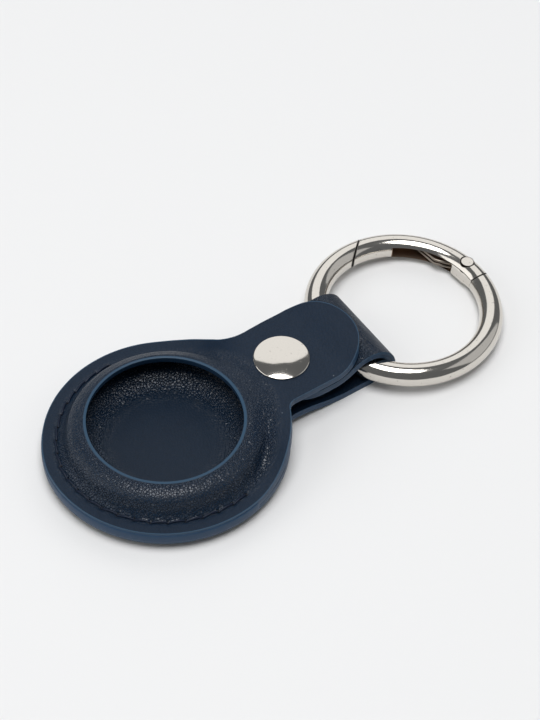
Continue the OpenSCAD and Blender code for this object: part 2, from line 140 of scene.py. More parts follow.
class StrapSizes(bpy.types.PropertyGroup):
    dish_drop: length("Dish depth", "Depth of the dish under the back flange", 1.5 * MM)
    step_r: length("Dish radius", "Radius where the dish begins", 17.4 * MM)
    step_bend_r: length("Step bend", "Bend radius at the start of the dish", 1.0 * MM)
    heel_bend_r: length("Heel bend", "Bend radius at the bottom of the dish", 2.2 * MM)
    half_w: length("Strap half width", "Half of the strap's width", 7.75 * MM)
    neck_r: length("Strap fillet", "Fillet between body and strap", 2.5 * MM)
    leg_start_x: length("Leg start", "Where the strap sinks to the table", 19.5 * MM)
    leg_end_x: length("Leg end", "Where the strap reaches the table", 31.5 * MM)
    hidden_x: length("Joint under the fold", "Where the strap's two pieces meet, on the table", 38.0 * MM)
    arch_x: length("Fold centre", "Centre of the fold round the ring", 35.2 * MM)
    arch_r: length("Fold radius", "Outer radius of the fold", 5.6 * MM)
    corner_r: length("Fold corner", "Outer radius of the fold's lower corner", 2.0 * MM)
    slope: turn("Slope", "Slope of the strap's end behind the fold", 30)
    dip_r: length("Dip radius", "Bend radius where the strap's end levels out", 6.0 * MM)
    tail_z: length("Strap end height", "Top of the strap's end", 5.3 * MM)
    tail_tip_x: length("Strap tip", "The strap's tip from the body centre", 18.25 * MM)


class StitchSizes(bpy.types.PropertyGroup):
    seam_r: length("Seam radius", "Radius of the stitch line", 18.1 * MM)
    start: turn("Seam start", "Angle of the first needle hole", 90.5)
    end: turn("Seam end", "Angle of the last needle hole", 282)
    count: IntProperty(name="Stitches", description="Number of stitches", default=22, min=2)
    thread_r: length("Thread radius", "Radius of the sewing thread", 0.17 * MM)
    hole_r: length("Hole radius", "Radius of the dimple round a needle hole", 0.4 * MM)
    groove: length("Groove depth", "How deep the seam is pulled into the leather", 0.09 * MM)
    groove_w: length("Groove half width", "Half of the width of that groove", 0.5 * MM)
    slant: length("Slant", "How far one end of a stitch lies outside the line", 0.08 * MM)


class SnapSizes(bpy.types.PropertyGroup):
    centre_x: length("Snap distance", "The snap from the body centre", 22.85 * MM)
    cap_r: length("Cap radius", "Radius of the cap", 4.7 * MM)
    cap_h: length("Cap height", "Height of the cap over the tab", 0.95 * MM)
    dome_h: length("Dome height", "Rise of the cap's dome", 0.66 * MM)
    rim_t: length("Rim bend", "Bend radius of the cap's rolled rim", 0.2 * MM)


class RingSizes(bpy.types.PropertyGroup):
    ring_r: length("Ring radius", "Radius of the wire's centreline", 15.0 * MM)
    wire_r: length("Wire radius", "Radius of the ring's wire", 2.0 * MM)
    pin_angle: turn("Pin angle", "Angle of the hinge pin round the ring", 6.8)
    pin_r: length("Pin head radius", "Radius of the hinge pin's head", 1.175 * MM)
    hinge_r: length("Hinge radius", "Radius of the hinge joint round the pin", 3.85 * MM)
    tip_outer: turn("Joint outside", "Angle of the gate's tip joint on the ring's outside", 80)
    tip_inner: turn("Joint inside", "Angle of the gate's tip joint on the ring's inside", 96)
    channel_r: length("Channel floor", "Radius of the floor of the gate's channel", 15.9 * MM)
    channel_half_w: length("Channel half width", "Half of the width of the gate's channel", 1.1 * MM)
    channel_end: turn("Channel end", "Angle at which the gate's channel ends", 62.5)
    spring_r: length("Spring wire radius", "Radius of the wire of the gate's spring", 0.25 * MM)
    strand_z: length("Strand height", "Height of the spring's two strands over its middle", 0.44 * MM)
    spring_bend: length("Spring bend", "How far from a corner the spring's wire starts to bend", 0.4 * MM)
    root_r: length("Root radius", "Distance of the spring's root from the ring's centre", 13.8 * MM)
    root_angle: turn("Root angle", "Angle of the spring's root round the ring", 15.8)
    knee_r: length("Knee radius", "Distance of the spring's knee from the ring's centre", 12.9 * MM)
    knee_angle: turn("Knee angle", "Angle of the spring's knee round the ring", 28)
    nose_r: length("Nose radius", "Distance of the spring's end from the ring's centre", 15.55 * MM)
    nose_angle: turn("Nose angle", "Angle of the spring's end round the ring", 46)
    # Painted shade: half the width of the dark lines that stand for the shade in the ring's joints
    joint_shade_w: length("Grime width", "Half of the width of the dark line in a joint", 0.17 * MM)


class Finish(bpy.types.PropertyGroup):
    leather: tint("Leather", "the leather", "#0d2033")
    lining: tint("Lining", "the lining", "#0a1d2f")
    # Painted shade: the needle holes are darkened towards this colour, standing for the shade down in them
    hole: tint("Needle hole", "the bottom of a needle hole", "#05070b")
    dust: tint("Dust", "the dust specks on the leather", "#9aa4ae")
    edge_paint: tint("Edge paint", "the painted edges", "#22415e")
    edge_ripple: tint("Edge ripple", "the low places in the edge paint", "#1b3049")
    # Painted highlight: the real paint lap and the top of the rounding take this lighter colour, standing
    # for light caught along the corner
    edge_line_and_highlight: tint("Edge line", "the paint at the corner", "#29455c")
    bond: tint("Bond line", "the line in the paint where the skin meets the lining", "#111b2a")
    thread: tint("Thread", "the thread", "#060a12")
    ply: tint("Thread ply", "the light plies of the thread", "#13233c")
    nickel: tint("Nickel", "the nickel plate", "#d7d2ca")
    speck: tint("Nickel speck", "the specks in metal", "#8f8a82")
    channel: tint("Channel", "the bare metal inside the gate's channel", "#a48f7e")
    # Painted shade: colour of the dark lines in the ring's joints and round the pin, standing for the shade
    # in those gaps
    joint_shade: tint("Grime", "the polishing grime in the ring's joints", "#16110d")
    steel: tint("Steel", "the spring wire", "#8a8177")
    floor: tint("Floor", "the paper floor", "#e8e8e8")
    sky: tint("Surroundings", "the light from all sides", "#d9dde2")


class StageSizes(bpy.types.PropertyGroup):
    azimuth: turn("Azimuth", "The camera's direction round the object", -35.6)
    elevation: turn("Elevation", "The camera's height over the horizon", 50.0)
    roll: turn("Roll", "The camera's roll", 1.41)
    distance: length("Distance", "The camera from the body centre", 392.5 * MM)
    centre_px: FloatVectorProperty(
        name="Centre in the picture", description="Where the body centre falls, in pixels", size=2,
        default=(165.8, 447.6))
    focal_px: FloatProperty(name="Focal length", description="Focal length in pixels", default=2400)
    sky_strength: fraction("Surroundings strength", "Strength of the light from all sides", 0.2)


SETTINGS = {
    "leather": LeatherSizes,
    "strap": StrapSizes,
    "stitch": StitchSizes,
    "snap": SnapSizes,
    "ring": RingSizes,
    "finish": Finish,
    "stage": StageSizes,
}


class TagHolderSettings(bpy.types.PropertyGroup):
    leather: PointerProperty(type=LeatherSizes)
    strap: PointerProperty(type=StrapSizes)
    stitch: PointerProperty(type=StitchSizes)
    snap: PointerProperty(type=SnapSizes)
    ring: PointerProperty(type=RingSizes)
    finish: PointerProperty(type=Finish)
    stage: PointerProperty(type=StageSizes)


# Nodes and materials


def add(tree, kind, inputs=None, **settings):
    """Adds a node with its settings, and sets or links its inputs. A node that is given as an input
    stands for its first output in use."""
    made = tree.nodes.new(kind)
    for key, value in settings.items():
        setattr(made, key, value)
    for key, value in (inputs or {}).items():
        if isinstance(value, bpy.types.Node):
            value = next(socket for socket in value.outputs if socket.enabled)
        if isinstance(value, bpy.types.NodeSocket):
            tree.links.new(value, made.inputs[key])
        else:
            made.inputs[key].default_value = value
    return made


def new_material(name):
    """An empty material and its tree."""
    made = bpy.data.materials.new(name)
    made.use_nodes = True
    made.node_tree.nodes.clear()
    return made, made.node_tree


def per_cm(count):
    """Scale of a pattern that has so many cells on each centimetre."""
    return count / CM


def leather_material(name, colour, finish):
    """Split leather under a thin polyurethane film: satin, with a pressed pebble grain that shows where the
    leather was stretched over the mould, painted shade in the grain's grooves and in the needle holes, and
    a little dust."""
    made, tree = new_material(name)
    roughness, pressed_roughness = 0.4, 0.2
    grain_depth = 0.08 * MM
    grain_shift = 0.5 * MM  # how far the warp may push the cells, so that they are uneven
    warp_scale = per_cm(9)  # 1.1 mm from one push to the next
    grain_scale = per_cm(23)  # cells 0.43 mm across
    pore_scale = per_cm(65)  # pores 0.15 mm across
    patch_scale = per_cm(1.6)  # lighter and darker patches 6 mm across
    dust_scale = per_cm(1.9)  # specks 0.2 mm across and about 5 mm apart
    dome_share, pore_share, gloss_share = -0.5, 0.3, 0.08
    place = add(tree, "ShaderNodeTexCoord").outputs["Object"]
    formed = add(tree, "ShaderNodeAttribute", attribute_name="formed").outputs["Fac"]
    hole = add(tree, "ShaderNodeAttribute", attribute_name="hole").outputs["Fac"]
    warp = add(tree, "ShaderNodeTexNoise", {"Vector": place, "Scale": warp_scale, "Detail": 2.0})
    shift = add(tree, "ShaderNodeVectorMath", {0: warp.outputs["Color"], "Scale": grain_shift},
                operation="SCALE")
    bent = add(tree, "ShaderNodeVectorMath", {0: place, 1: shift}, operation="ADD")
    cells = {"Vector": bent, "Scale": grain_scale}
    border = add(tree, "ShaderNodeTexVoronoi", cells, feature="DISTANCE_TO_EDGE")
    pebble = add(tree, "ShaderNodeTexVoronoi", cells, feature="F1")
    pores = add(tree, "ShaderNodeTexNoise", {"Vector": place, "Scale": pore_scale, "Detail": 2.0})
    broad = add(tree, "ShaderNodeTexNoise", {"Vector": place, "Scale": patch_scale, "Detail": 3.0})
    plate = add(tree, "ShaderNodeMapRange", {"Value": border, "From Max": 0.16},
                interpolation_type="SMOOTHSTEP")
    dome = add(tree, "ShaderNodeMath", {0: pebble, 1: dome_share, 2: plate}, operation="MULTIPLY_ADD")
    height = add(tree, "ShaderNodeMath", {0: pores, 1: pore_share, 2: dome}, operation="MULTIPLY_ADD")
    grain = add(tree, "ShaderNodeMapRange", {"Value": formed, "To Min": 0.24, "To Max": 1.0})
    bump = add(tree, "ShaderNodeBump", {"Height": height, "Strength": grain, "Distance": grain_depth})
    # Painted shade: the base colour darkens to three quarters in the grooves between the grain's cells,
    # where shade would fall
    groove = add(tree, "ShaderNodeMapRange", {"Value": plate, "To Min": 0.75, "To Max": 1.0})
    patch = add(tree, "ShaderNodeMapRange", {"Value": broad, "To Min": 0.92, "To Max": 1.08})
    groove_shade_and_patch = add(tree, "ShaderNodeMath", {0: groove, 1: patch}, operation="MULTIPLY")
    toned = add(tree, "ShaderNodeMixRGB", {"Fac": 1.0, "Color1": linear(colour), "Color2": groove_shade_and_patch},
                blend_type="MULTIPLY")
    # Painted shade: the needle holes are darkened by the hole attribute
    sewn = add(tree, "ShaderNodeMixRGB", {"Fac": hole, "Color1": toned, "Color2": linear(finish.hole)})
    dust = add(tree, "ShaderNodeTexVoronoi", {"Vector": place, "Scale": dust_scale}, feature="F1")
    speck = add(tree, "ShaderNodeMapRange", {
        "Value": dust, "From Min": 0.012, "From Max": 0.022, "To Min": 0.45, "To Max": 0.0})
    dusty = add(tree, "ShaderNodeMixRGB", {"Fac": speck, "Color1": sewn, "Color2": linear(finish.dust)})
    satin = add(tree, "ShaderNodeMapRange", {
        "Value": formed, "To Min": roughness, "To Max": pressed_roughness})
    gloss = add(tree, "ShaderNodeMath", {0: pores, 1: gloss_share, 2: satin}, operation="MULTIPLY_ADD")
    level = add(tree, "ShaderNodeMapRange", {"Value": formed, "To Min": 0.25, "To Max": 0.5})
    shader = add(tree, "ShaderNodeBsdfPrincipled", {
        "Base Color": dusty, "Roughness": gloss, "IOR": 1.45, "Specular IOR Level": level, "Normal": bump})
    add(tree, "ShaderNodeOutputMaterial", {"Surface": shader})
    return made


def edge_paint_material(name, finish, skin_share):
    """Acrylic edge paint in two coats: smooth and satin, lightest where it laps over the corner, where the
    lighter colour is a painted highlight, with a faint line where the skin meets the lining and small
    ripples along the edge."""
    made, tree = new_material(name)
    ripple_scale = per_cm(6.5)  # ripples 1.5 mm long
    ripple_share, bond_share = 0.5, 0.55
    place = add(tree, "ShaderNodeTexCoord").outputs["Object"]
    across = add(tree, "ShaderNodeAttribute", attribute_name="across").outputs["Fac"]
    ripple = add(tree, "ShaderNodeTexNoise", {"Vector": place, "Scale": ripple_scale, "Detail": 2.0})
    off = add(tree, "ShaderNodeMath", {0: across, 1: skin_share}, operation="SUBTRACT")
    near = add(tree, "ShaderNodeMath", {0: off}, operation="ABSOLUTE")
    bond = add(tree, "ShaderNodeMapRange", {"Value": near, "From Max": 0.07, "To Min": 1.0, "To Max": 0.0})
    # Painted highlight: the lap and the top of the rounding are lightened towards the corner colour
    corner = add(tree, "ShaderNodeMapRange", {
        "Value": across, "From Min": 0.05, "From Max": 0.3, "To Min": 1.0, "To Max": 0.0})
    low = add(tree, "ShaderNodeMath", {0: ripple, 1: ripple_share}, operation="MULTIPLY")
    rippled = add(tree, "ShaderNodeMixRGB", {
        "Fac": low, "Color1": linear(finish.edge_paint), "Color2": linear(finish.edge_ripple)})
    lapped = add(tree, "ShaderNodeMixRGB", {
        "Fac": corner, "Color1": rippled, "Color2": linear(finish.edge_line_and_highlight)})
    faint = add(tree, "ShaderNodeMath", {0: bond, 1: bond_share}, operation="MULTIPLY")
    lined = add(tree, "ShaderNodeMixRGB", {"Fac": faint, "Color1": lapped, "Color2": linear(finish.bond)})
    height = add(tree, "ShaderNodeMath", {0: ripple, 1: bond}, operation="SUBTRACT")
    bump = add(tree, "ShaderNodeBump", {"Height": height, "Strength": 0.5, "Distance": 0.05 * MM})
    shader = add(tree, "ShaderNodeBsdfPrincipled", {
        "Base Color": lined, "Roughness": 0.42, "IOR": 1.45, "Specular IOR Level": 0.32, "Normal": bump})
    add(tree, "ShaderNodeOutputMaterial", {"Surface": shader})
    return made


def thread_material(name, finish):
    """Bonded polyester thread, twisted: fine plies in the dark colour, with a low waxy sheen."""
    made, tree = new_material(name)
    ply_scale = per_cm(42)  # plies 0.24 mm long, coarser than real ones so that they show
    place = add(tree, "ShaderNodeTexCoord").outputs["Object"]
    ply = add(tree, "ShaderNodeTexNoise", {"Vector": place, "Scale": ply_scale, "Detail": 2.0})
    bump = add(tree, "ShaderNodeBump", {"Height": ply, "Strength": 0.6, "Distance": 0.04 * MM})
    mixed = add(tree, "ShaderNodeMixRGB", {
        "Fac": ply, "Color1": linear(finish.thread), "Color2": linear(finish.ply)})
    shader = add(tree, "ShaderNodeBsdfPrincipled", {
        "Base Color": mixed, "Roughness": 0.42, "IOR": 1.5, "Specular IOR Level": 0.25, "Normal": bump})
    add(tree, "ShaderNodeOutputMaterial", {"Surface": shader})
    return made


def ring_axes():
    """Centre of the ring and its three directions: outwards to its front, sideways and its normal."""
    joint = JOINTS["ring_turn"]
    normal = Vector(joint["axis"]).normalized()
    side = Vector((0, 1, 0))
    return Vector(joint["pos_m"]), side.cross(normal), side, normal


def near_mask(tree, value, target, width):
    """1 where the value is within the width of the target, with a soft border."""
    inner_share, outer_share = 0.6, 1.5
    off = add(tree, "ShaderNodeMath", {0: value, 1: target}, operation="SUBTRACT")
    size = add(tree, "ShaderNodeMath", {0: off}, operation="ABSOLUTE")
    return add(tree, "ShaderNodeMapRange", {
        "Value": size, "From Min": width * inner_share, "From Max": width * outer_share,
        "To Min": 1.0, "To Max": 0.0})


def plane_distance(tree, across, along, radius, angle):
    """Distance in the ring's plane from the point at that radius and angle."""
    squares = []
    for value, middle in ((across, radius * math.cos(angle)), (along, radius * math.sin(angle))):
        off = add(tree, "ShaderNodeMath", {0: value, 1: middle}, operation="SUBTRACT")
        squares.append(add(tree, "ShaderNodeMath", {0: off, 1: off}, operation="MULTIPLY"))
    total = add(tree, "ShaderNodeMath", {0: squares[0], 1: squares[1]}, operation="ADD")
    return add(tree, "ShaderNodeMath", {0: total}, operation="SQRT")


def ring_masks(tree, place):
    """Painted shade as dark lines in the gate's joints and round the pin, and the bare inside of the gate's
    channel.
    """
    ring = bpy.context.scene.tag_holder.ring
    tip_share, hinge_share, pin_share = 1.0, 0.8, 0.7
    side_slack, floor_slack = 0.01 * MM, 0.04 * MM
    centre, *directions = ring_axes()
    offset = add(tree, "ShaderNodeVectorMath", {0: place, 1: centre}, operation="SUBTRACT")
    across, along, height = [
        add(tree, "ShaderNodeVectorMath", {0: offset, 1: direction}, operation="DOT_PRODUCT")
        for direction in directions]
    from_centre = plane_distance(tree, across, along, 0, 0)
    from_pin = plane_distance(tree, across, along, ring.ring_r, ring.pin_angle)
    outer, inner = [
        Vector((math.cos(angle), math.sin(angle))) * radius
        for angle, radius in ((ring.tip_outer, ring.ring_r + ring.wire_r),
                              (ring.tip_inner, ring.ring_r - ring.wire_r))]
    slope = (outer - inner).normalized()
    shear = add(tree, "ShaderNodeMath", {0: across, 1: slope.y, 2: -outer.x * slope.y},
                operation="MULTIPLY_ADD")
    from_tip = add(tree, "ShaderNodeMath", {0: along, 1: -slope.x, 2: shear}, operation="MULTIPLY_ADD")
    # Painted shade: dark lines along the tip joint, round the hinge and round the pin head
    lines = [(from_tip, -outer.y * slope.x, tip_share, "GREATER_THAN", ring.ring_r / 2),
             (from_pin, ring.hinge_r, hinge_share, "LESS_THAN", ring.hinge_r),
             (from_pin, ring.pin_r, pin_share, "LESS_THAN", ring.hinge_r)]
    joint_shade = 0.0
    for value, target, share, test, limit in lines:
        line = near_mask(tree, value, target, ring.joint_shade_w * share)
        inside = add(tree, "ShaderNodeMath", {0: along, 1: limit}, operation=test)
        cut = add(tree, "ShaderNodeMath", {0: line, 1: inside}, operation="MULTIPLY")
        joint_shade = add(tree, "ShaderNodeMath", {0: joint_shade, 1: cut}, operation="MAXIMUM")
    level = add(tree, "ShaderNodeMath", {0: height}, operation="ABSOLUTE")
    angle = add(tree, "ShaderNodeMath", {0: along, 1: across}, operation="ARCTAN2")
    channel = [(level, "LESS_THAN", ring.channel_half_w + side_slack),
               (from_centre, "LESS_THAN", ring.channel_r + floor_slack),
               (angle, "GREATER_THAN", ring.pin_angle),
               (from_pin, "GREATER_THAN", ring.hinge_r),
               (angle, "LESS_THAN", ring.channel_end)]
    bare = 1.0
    for value, test, limit in channel:
        inside = add(tree, "ShaderNodeMath", {0: value, 1: limit}, operation=test)
        bare = add(tree, "ShaderNodeMath", {0: bare, 1: inside}, operation="MULTIPLY")
    return joint_shade, bare


def metal_material(name, colour, roughness, finish, ring=False):
    """Bright nickel plate on polished zinc or steel: a near mirror with the slight waves of a casting,
    rubbed places and a few specks. On the ring the joints and the pin's edge get dark lines of painted
    shade. Bare spring steel has the same marks on a rougher surface."""
    made, tree = new_material(name)
    cloud_scale = per_cm(2.2)  # rubbed places 4.5 mm wide
    speck_scale = per_cm(26)  # specks 0.4 mm wide at most
    wave_scale = per_cm(4.2)  # waves 2.4 mm long
    least_worn, most_worn, speck_dull = 0.6, 1.6, 0.25
    channel_dull, joint_shade_dull = 0.45, 0.6
    place = add(tree, "ShaderNodeTexCoord").outputs["Object"]
    cloud = add(tree, "ShaderNodeTexNoise", {"Vector": place, "Scale": cloud_scale, "Detail": 4.0})
    speck = add(tree, "ShaderNodeTexNoise", {"Vector": place, "Scale": speck_scale, "Detail": 2.0})
    wave = add(tree, "ShaderNodeTexNoise", {"Vector": place, "Scale": wave_scale, "Detail": 1.0})
    bump = add(tree, "ShaderNodeBump", {"Height": wave, "Strength": 0.35, "Distance": 0.06 * MM})
    spots = add(tree, "ShaderNodeMapRange", {"Value": speck, "From Min": 0.68, "From Max": 0.76})
    worn = add(tree, "ShaderNodeMapRange", {
        "Value": cloud, "To Min": roughness * least_worn, "To Max": roughness * most_worn})
    spotted = add(tree, "ShaderNodeMath", {0: spots, 1: speck_dull}, operation="MULTIPLY")
    dull = add(tree, "ShaderNodeMath", {0: spotted, 1: worn}, operation="ADD")
    mixed = add(tree, "ShaderNodeMixRGB", {
        "Fac": spots, "Color1": linear(colour), "Color2": linear(finish.speck)})
    if ring:
        # The second mask is painted shade in the joints; the first is the bare metal of the channel
        joint_shade, bare = ring_masks(tree, place)
        for mask, shade, share in ((bare, finish.channel, channel_dull), (joint_shade, finish.joint_shade, joint_shade_dull)):
            mixed = add(tree, "ShaderNodeMixRGB", {"Fac": mask, "Color1": mixed, "Color2": linear(shade)})
            matt = add(tree, "ShaderNodeMath", {0: mask, 1: share}, operation="MULTIPLY")
            dull = add(tree, "ShaderNodeMath", {0: dull, 1: matt}, operation="MAXIMUM")
    shader = add(tree, "ShaderNodeBsdfPrincipled", {
        "Base Color": mixed, "Metallic": 1.0, "Roughness": dull, "Normal": bump})
    add(tree, "ShaderNodeOutputMaterial", {"Surface": shader})
    return made


MATERIALS = {}


def material(key):
    """The finished material of that key, made once."""
    if key not in MATERIALS:
        settings = bpy.context.scene.tag_holder
        finish = settings.finish
        makers = {
            "leather": lambda: leather_material("Navy PU leather", finish.leather, finish),
            "lining": lambda: leather_material("Navy lining leather", finish.lining, finish),
            "edge": lambda: edge_paint_material("Blue edge paint", finish, settings.leather.skin_share),
            "thread": lambda: thread_material("Navy polyester thread", finish),
            "nickel": lambda: metal_material("Polished nickel plate", finish.nickel, 0.08, finish),
            "ring": lambda: metal_material("Polished nickel plate on the ring", finish.nickel, 0.1, finish,
                                           ring=True),
            "steel": lambda: metal_material("Spring steel wire", finish.steel, 0.3, finish),
        }
        MATERIALS[key] = makers[key]()
    return MATERIALS[key]


# Mesh helpers


def mesh_object(name, points, faces):
    """A smooth mesh object at the origin."""
    mesh = bpy.data.meshes.new(name)
    mesh.from_pydata([tuple(p) for p in points], [], [tuple(f) for f in faces])
    mesh.polygons.foreach_set("use_smooth", [True] * len(mesh.polygons))
    mesh.update()
    obj = bpy.data.objects.new(name, mesh)
    bpy.context.scene.collection.objects.link(obj)
    return obj


def grid_faces(rows, columns, first=0, closed=False):
    """Quads between rows of points; a closed grid joins its last column to its first."""
    faces = []
    last = columns if closed else columns - 1
    for i in range(rows - 1):
        for j in range(last):
            k = (j + 1) % columns
            a = first + i * columns + j
            b = first + i * columns + k
            faces.append((a, a + columns, b + columns, b))
    return faces


def turn_faces_outwards(obj):
    """Gives a closed mesh faces that all point outwards."""
    mesh = bmesh.new()
    mesh.from_mesh(obj.data)
    bmesh.ops.recalc_face_normals(mesh, faces=mesh.faces)
    mesh.to_mesh(obj.data)
    mesh.free()


def set_attribute(obj, name, values):
    """Writes one number for each point, for the materials to read."""
    attribute = obj.data.attributes.get(name) or obj.data.attributes.new(name, "FLOAT", "POINT")
    attribute.data.foreach_set("value", np.asarray(values, np.float32))


def attribute_values(obj, name):
    """The number that each point carries under that name."""
    values = np.zeros(len(obj.data.vertices), np.float32)
    obj.data.attributes[name].data.foreach_get("value", values)
    return values


def vertex_array(obj):
    """The places of the mesh's points, one row each."""
    points = np.zeros(len(obj.data.vertices) * 3)
    obj.data.vertices.foreach_get("co", points)
    return points.reshape(-1, 3)


def paint_strips(obj, columns, strips):
    """Gives the edge paint to whole strips of faces between two rows of a closed grid."""
    index = np.zeros(len(obj.data.polygons), np.int32)
    for strip in strips:
        index[strip * columns:(strip + 1) * columns] = 1
    obj.data.polygons.foreach_set("material_index", index)


def bake_modifiers(obj):
    """Replaces the object's mesh by its evaluated one and drops the modifiers."""
    bpy.context.view_layer.update()
    evaluated = obj.evaluated_get(bpy.context.evaluated_depsgraph_get())
    mesh = bpy.data.meshes.new_from_object(evaluated, preserve_all_data_layers=True,
                                           depsgraph=bpy.context.evaluated_depsgraph_get())
    obj.modifiers.clear()
    obj.data = mesh


def make_panel_solid(obj, thickness, edge_r):
    """Gives a sheet its thickness on the lining side, rounds its cut edges and paints them."""
    # Solidify adds the rim's offset and the inner shell's offset to a face's own slot
    slots = ("leather", "edge", "edge", "lining", "lining")
    kept = ("leather", "edge", "lining")
    for key in slots:
        obj.data.materials.append(material(key))
    set_attribute(obj, "across", np.zeros(len(obj.data.vertices)))
    inner = obj.vertex_groups.new(name="inner")
    solid = obj.modifiers.new("Thickness", "SOLIDIFY")
    solid.thickness = thickness
    solid.offset = -1
    solid.use_even_offset = True
    solid.material_offset_rim = 1
    solid.material_offset = 3
    solid.shell_vertex_group = inner.name
    rounding = obj.modifiers.new("Rounded edges", "BEVEL")
    rounding.width = edge_r
    rounding.segments = 3
    rounding.limit_method = "ANGLE"
    rounding.angle_limit = math.radians(55)
    rounding.material = 1
    bake_modifiers(obj)
    group = obj.vertex_groups.get("inner")
    depth = np.zeros(len(obj.data.vertices))
    if group is not None:
        for vertex in obj.data.vertices:
            for member in vertex.groups:
                if member.group == group.index:
                    depth[vertex.index] = member.weight
        obj.vertex_groups.clear()
    set_attribute(obj, "across", depth)
    index = np.zeros(len(obj.data.polygons), np.int32)
    obj.data.polygons.foreach_get("material_index", index)
    obj.data.materials.clear()
    for key in kept:
        obj.data.materials.append(material(key))
    moved = np.array([kept.index(key) for key in slots], np.int32)
    obj.data.polygons.foreach_set("material_index", moved[index])
    obj.data.polygons.foreach_set("use_smooth", [True] * len(obj.data.polygons))


# Shapes of the leather, worked out in metres


def smoothstep(x):
    """0 below 0, 1 above 1 and a smooth S between them."""
    x = np.clip(x, 0, 1)
    return x * x * (3 - 2 * x)


def climb(x, x0, z0, x1, z1):
    """Height of a face that rises in one smooth S of two equal arcs from (x0, z0) to (x1, z1)."""
    run, rise = x1 - x0, z1 - z0
    bend = (run * run + rise * rise) / (4 * rise)
    x = np.clip(x, x0, x1)
    low = z0 + bend - np.sqrt(np.maximum(bend * bend - (x - x0) ** 2, 0))
    high = z1 - bend + np.sqrt(np.maximum(bend * bend - (x1 - x) ** 2, 0))
    return np.where(x < (x0 + x1) / 2, low, high)


def polar(points):
    """Distance of points from the body's middle in plan, and their angle there."""
    return np.hypot(points[:, 0], points[:, 1]), np.arctan2(points[:, 1], points[:, 0])


def arc(centre, radius, start, end, count):
    """Points on an arc in plan, the last one left out."""
    return [(centre[0] + radius * math.cos(a), centre[1] + radius * math.sin(a))
            for a in np.linspace(start, end, count, endpoint=False)]


def straight(start, end, count):
    """Points on a straight line in plan, the last one left out."""
    return [tuple(np.array(start) + (np.array(end) - np.array(start)) * t)
            for t in np.linspace(0, 1, count, endpoint=False)]


def neck_centre(body_r, half_w, fillet_r):
    """Centre of the fillet between the round body and the side of a strap or tab."""
    return math.sqrt((body_r + fillet_r) ** 2 - (half_w + fillet_r) ** 2), half_w + fillet_r


def side_outline(body_r, half_w, fillet_r, from_x, body_steps):
    """Outline from a point on the strap's or tab's edge, round the fillet and the body, to 180 degrees."""
    neck_steps = 14
    cx, cy = neck_centre(body_r, half_w, fillet_r)
    angle = math.atan2(cy, cx)
    points = straight((from_x, half_w), (cx, half_w), neck_steps)
    points += arc((cx, cy), fillet_r, -math.pi / 2, angle - math.pi, neck_steps)
    points += arc((0, 0), body_r, angle, math.pi, body_steps)
    return points


def profile_rows(outline, profile):
    """Rows of points round the middle, one at each radius of the profile, and their heights."""
    directions = outline / np.linalg.norm(outline, axis=1)[:, None]
    rows = [directions * r for r, _ in profile]
    heights = [np.full(len(outline), z) for _, z in profile]
    return rows, heights


def lap_line(inner, outer, lap):
    """Points a paint lap inside the outer row, on the way to the inner one."""
    along = outer - inner
    return outer - along / np.linalg.norm(along, axis=1)[:, None] * lap


def strap_shares(lap_share):
    """Places across the strap from -1 to 1, with a narrow strip for the paint at both edges."""
    columns = 29
    return np.array([-1, *np.linspace(lap_share - 1, 1 - lap_share, columns), 1])


def pull_in(leather, xy):
    """Moves points of the flange inwards on one half, as the bulge sits a little off the middle."""
    rim_fade = 2.5 * MM
    edge_slack, edge_fade = 0.6 * MM, 6 * MM
    radius, angle = polar(xy)
    share = np.maximum(np.cos(angle - leather.pull_at), 0)
    inner = smoothstep((radius - leather.window_r) / rim_fade)
    outer = 1 - smoothstep((radius - leather.body_r - edge_slack) / edge_fade)
    return xy * (1 - leather.pull * share * inner * outer / np.maximum(radius, TINY))[:, None]


def stitch_step(stitch):
    """Angle from one needle hole to the next."""
    return (stitch.end - stitch.start) / stitch.count


def seam_marks(stitch, points):
    """For each point, how far it is inside a needle hole, how near the seam line, and how much painted
    shade darkens the hole there, all 0 to 1."""
    fade = 0.06  # radians in which the groove starts and ends
    dark_gain, dark_start = 2.4, 0.9
    radius, angle = polar(points)
    angle = np.mod(angle, 2 * math.pi)
    step = stitch_step(stitch)
    nearest = np.clip(np.round((angle - stitch.start) / step), 0, stitch.count)
    off = (angle - stitch.start - nearest * step) * radius
    gap = np.hypot(off, radius - stitch.seam_r)
    hole = np.exp(-(gap / stitch.hole_r) ** 2)
    begun = smoothstep((angle - stitch.start + fade / 2) / fade)
    unended = smoothstep((stitch.end + fade / 2 - angle) / fade)
    line = np.exp(-((radius - stitch.seam_r) / stitch.groove_w) ** 2) * (begun * unended)
    return hole, line, np.clip(hole * dark_gain - dark_start, 0, 1)


# Front leather


def front_outline(leather):
    """The whole outline of the front, anticlockwise from the tab's tip."""
    tip_steps, body_steps = 22, 290
    tip_centre = leather.tip_x - leather.tab_half_w
    upper, lower = [
        arc((tip_centre, 0), leather.tab_half_w, 0, math.pi / 2, tip_steps)
        + side_outline(leather.body_r, leather.tab_half_w, fillet_r, tip_centre, body_steps)
        for fillet_r in (leather.neck_left_r, leather.neck_right_r)]
    mirrored = [(x, -y) for x, y in lower]
    return np.array(upper + [(-leather.body_r, 0)] + mirrored[:0:-1])


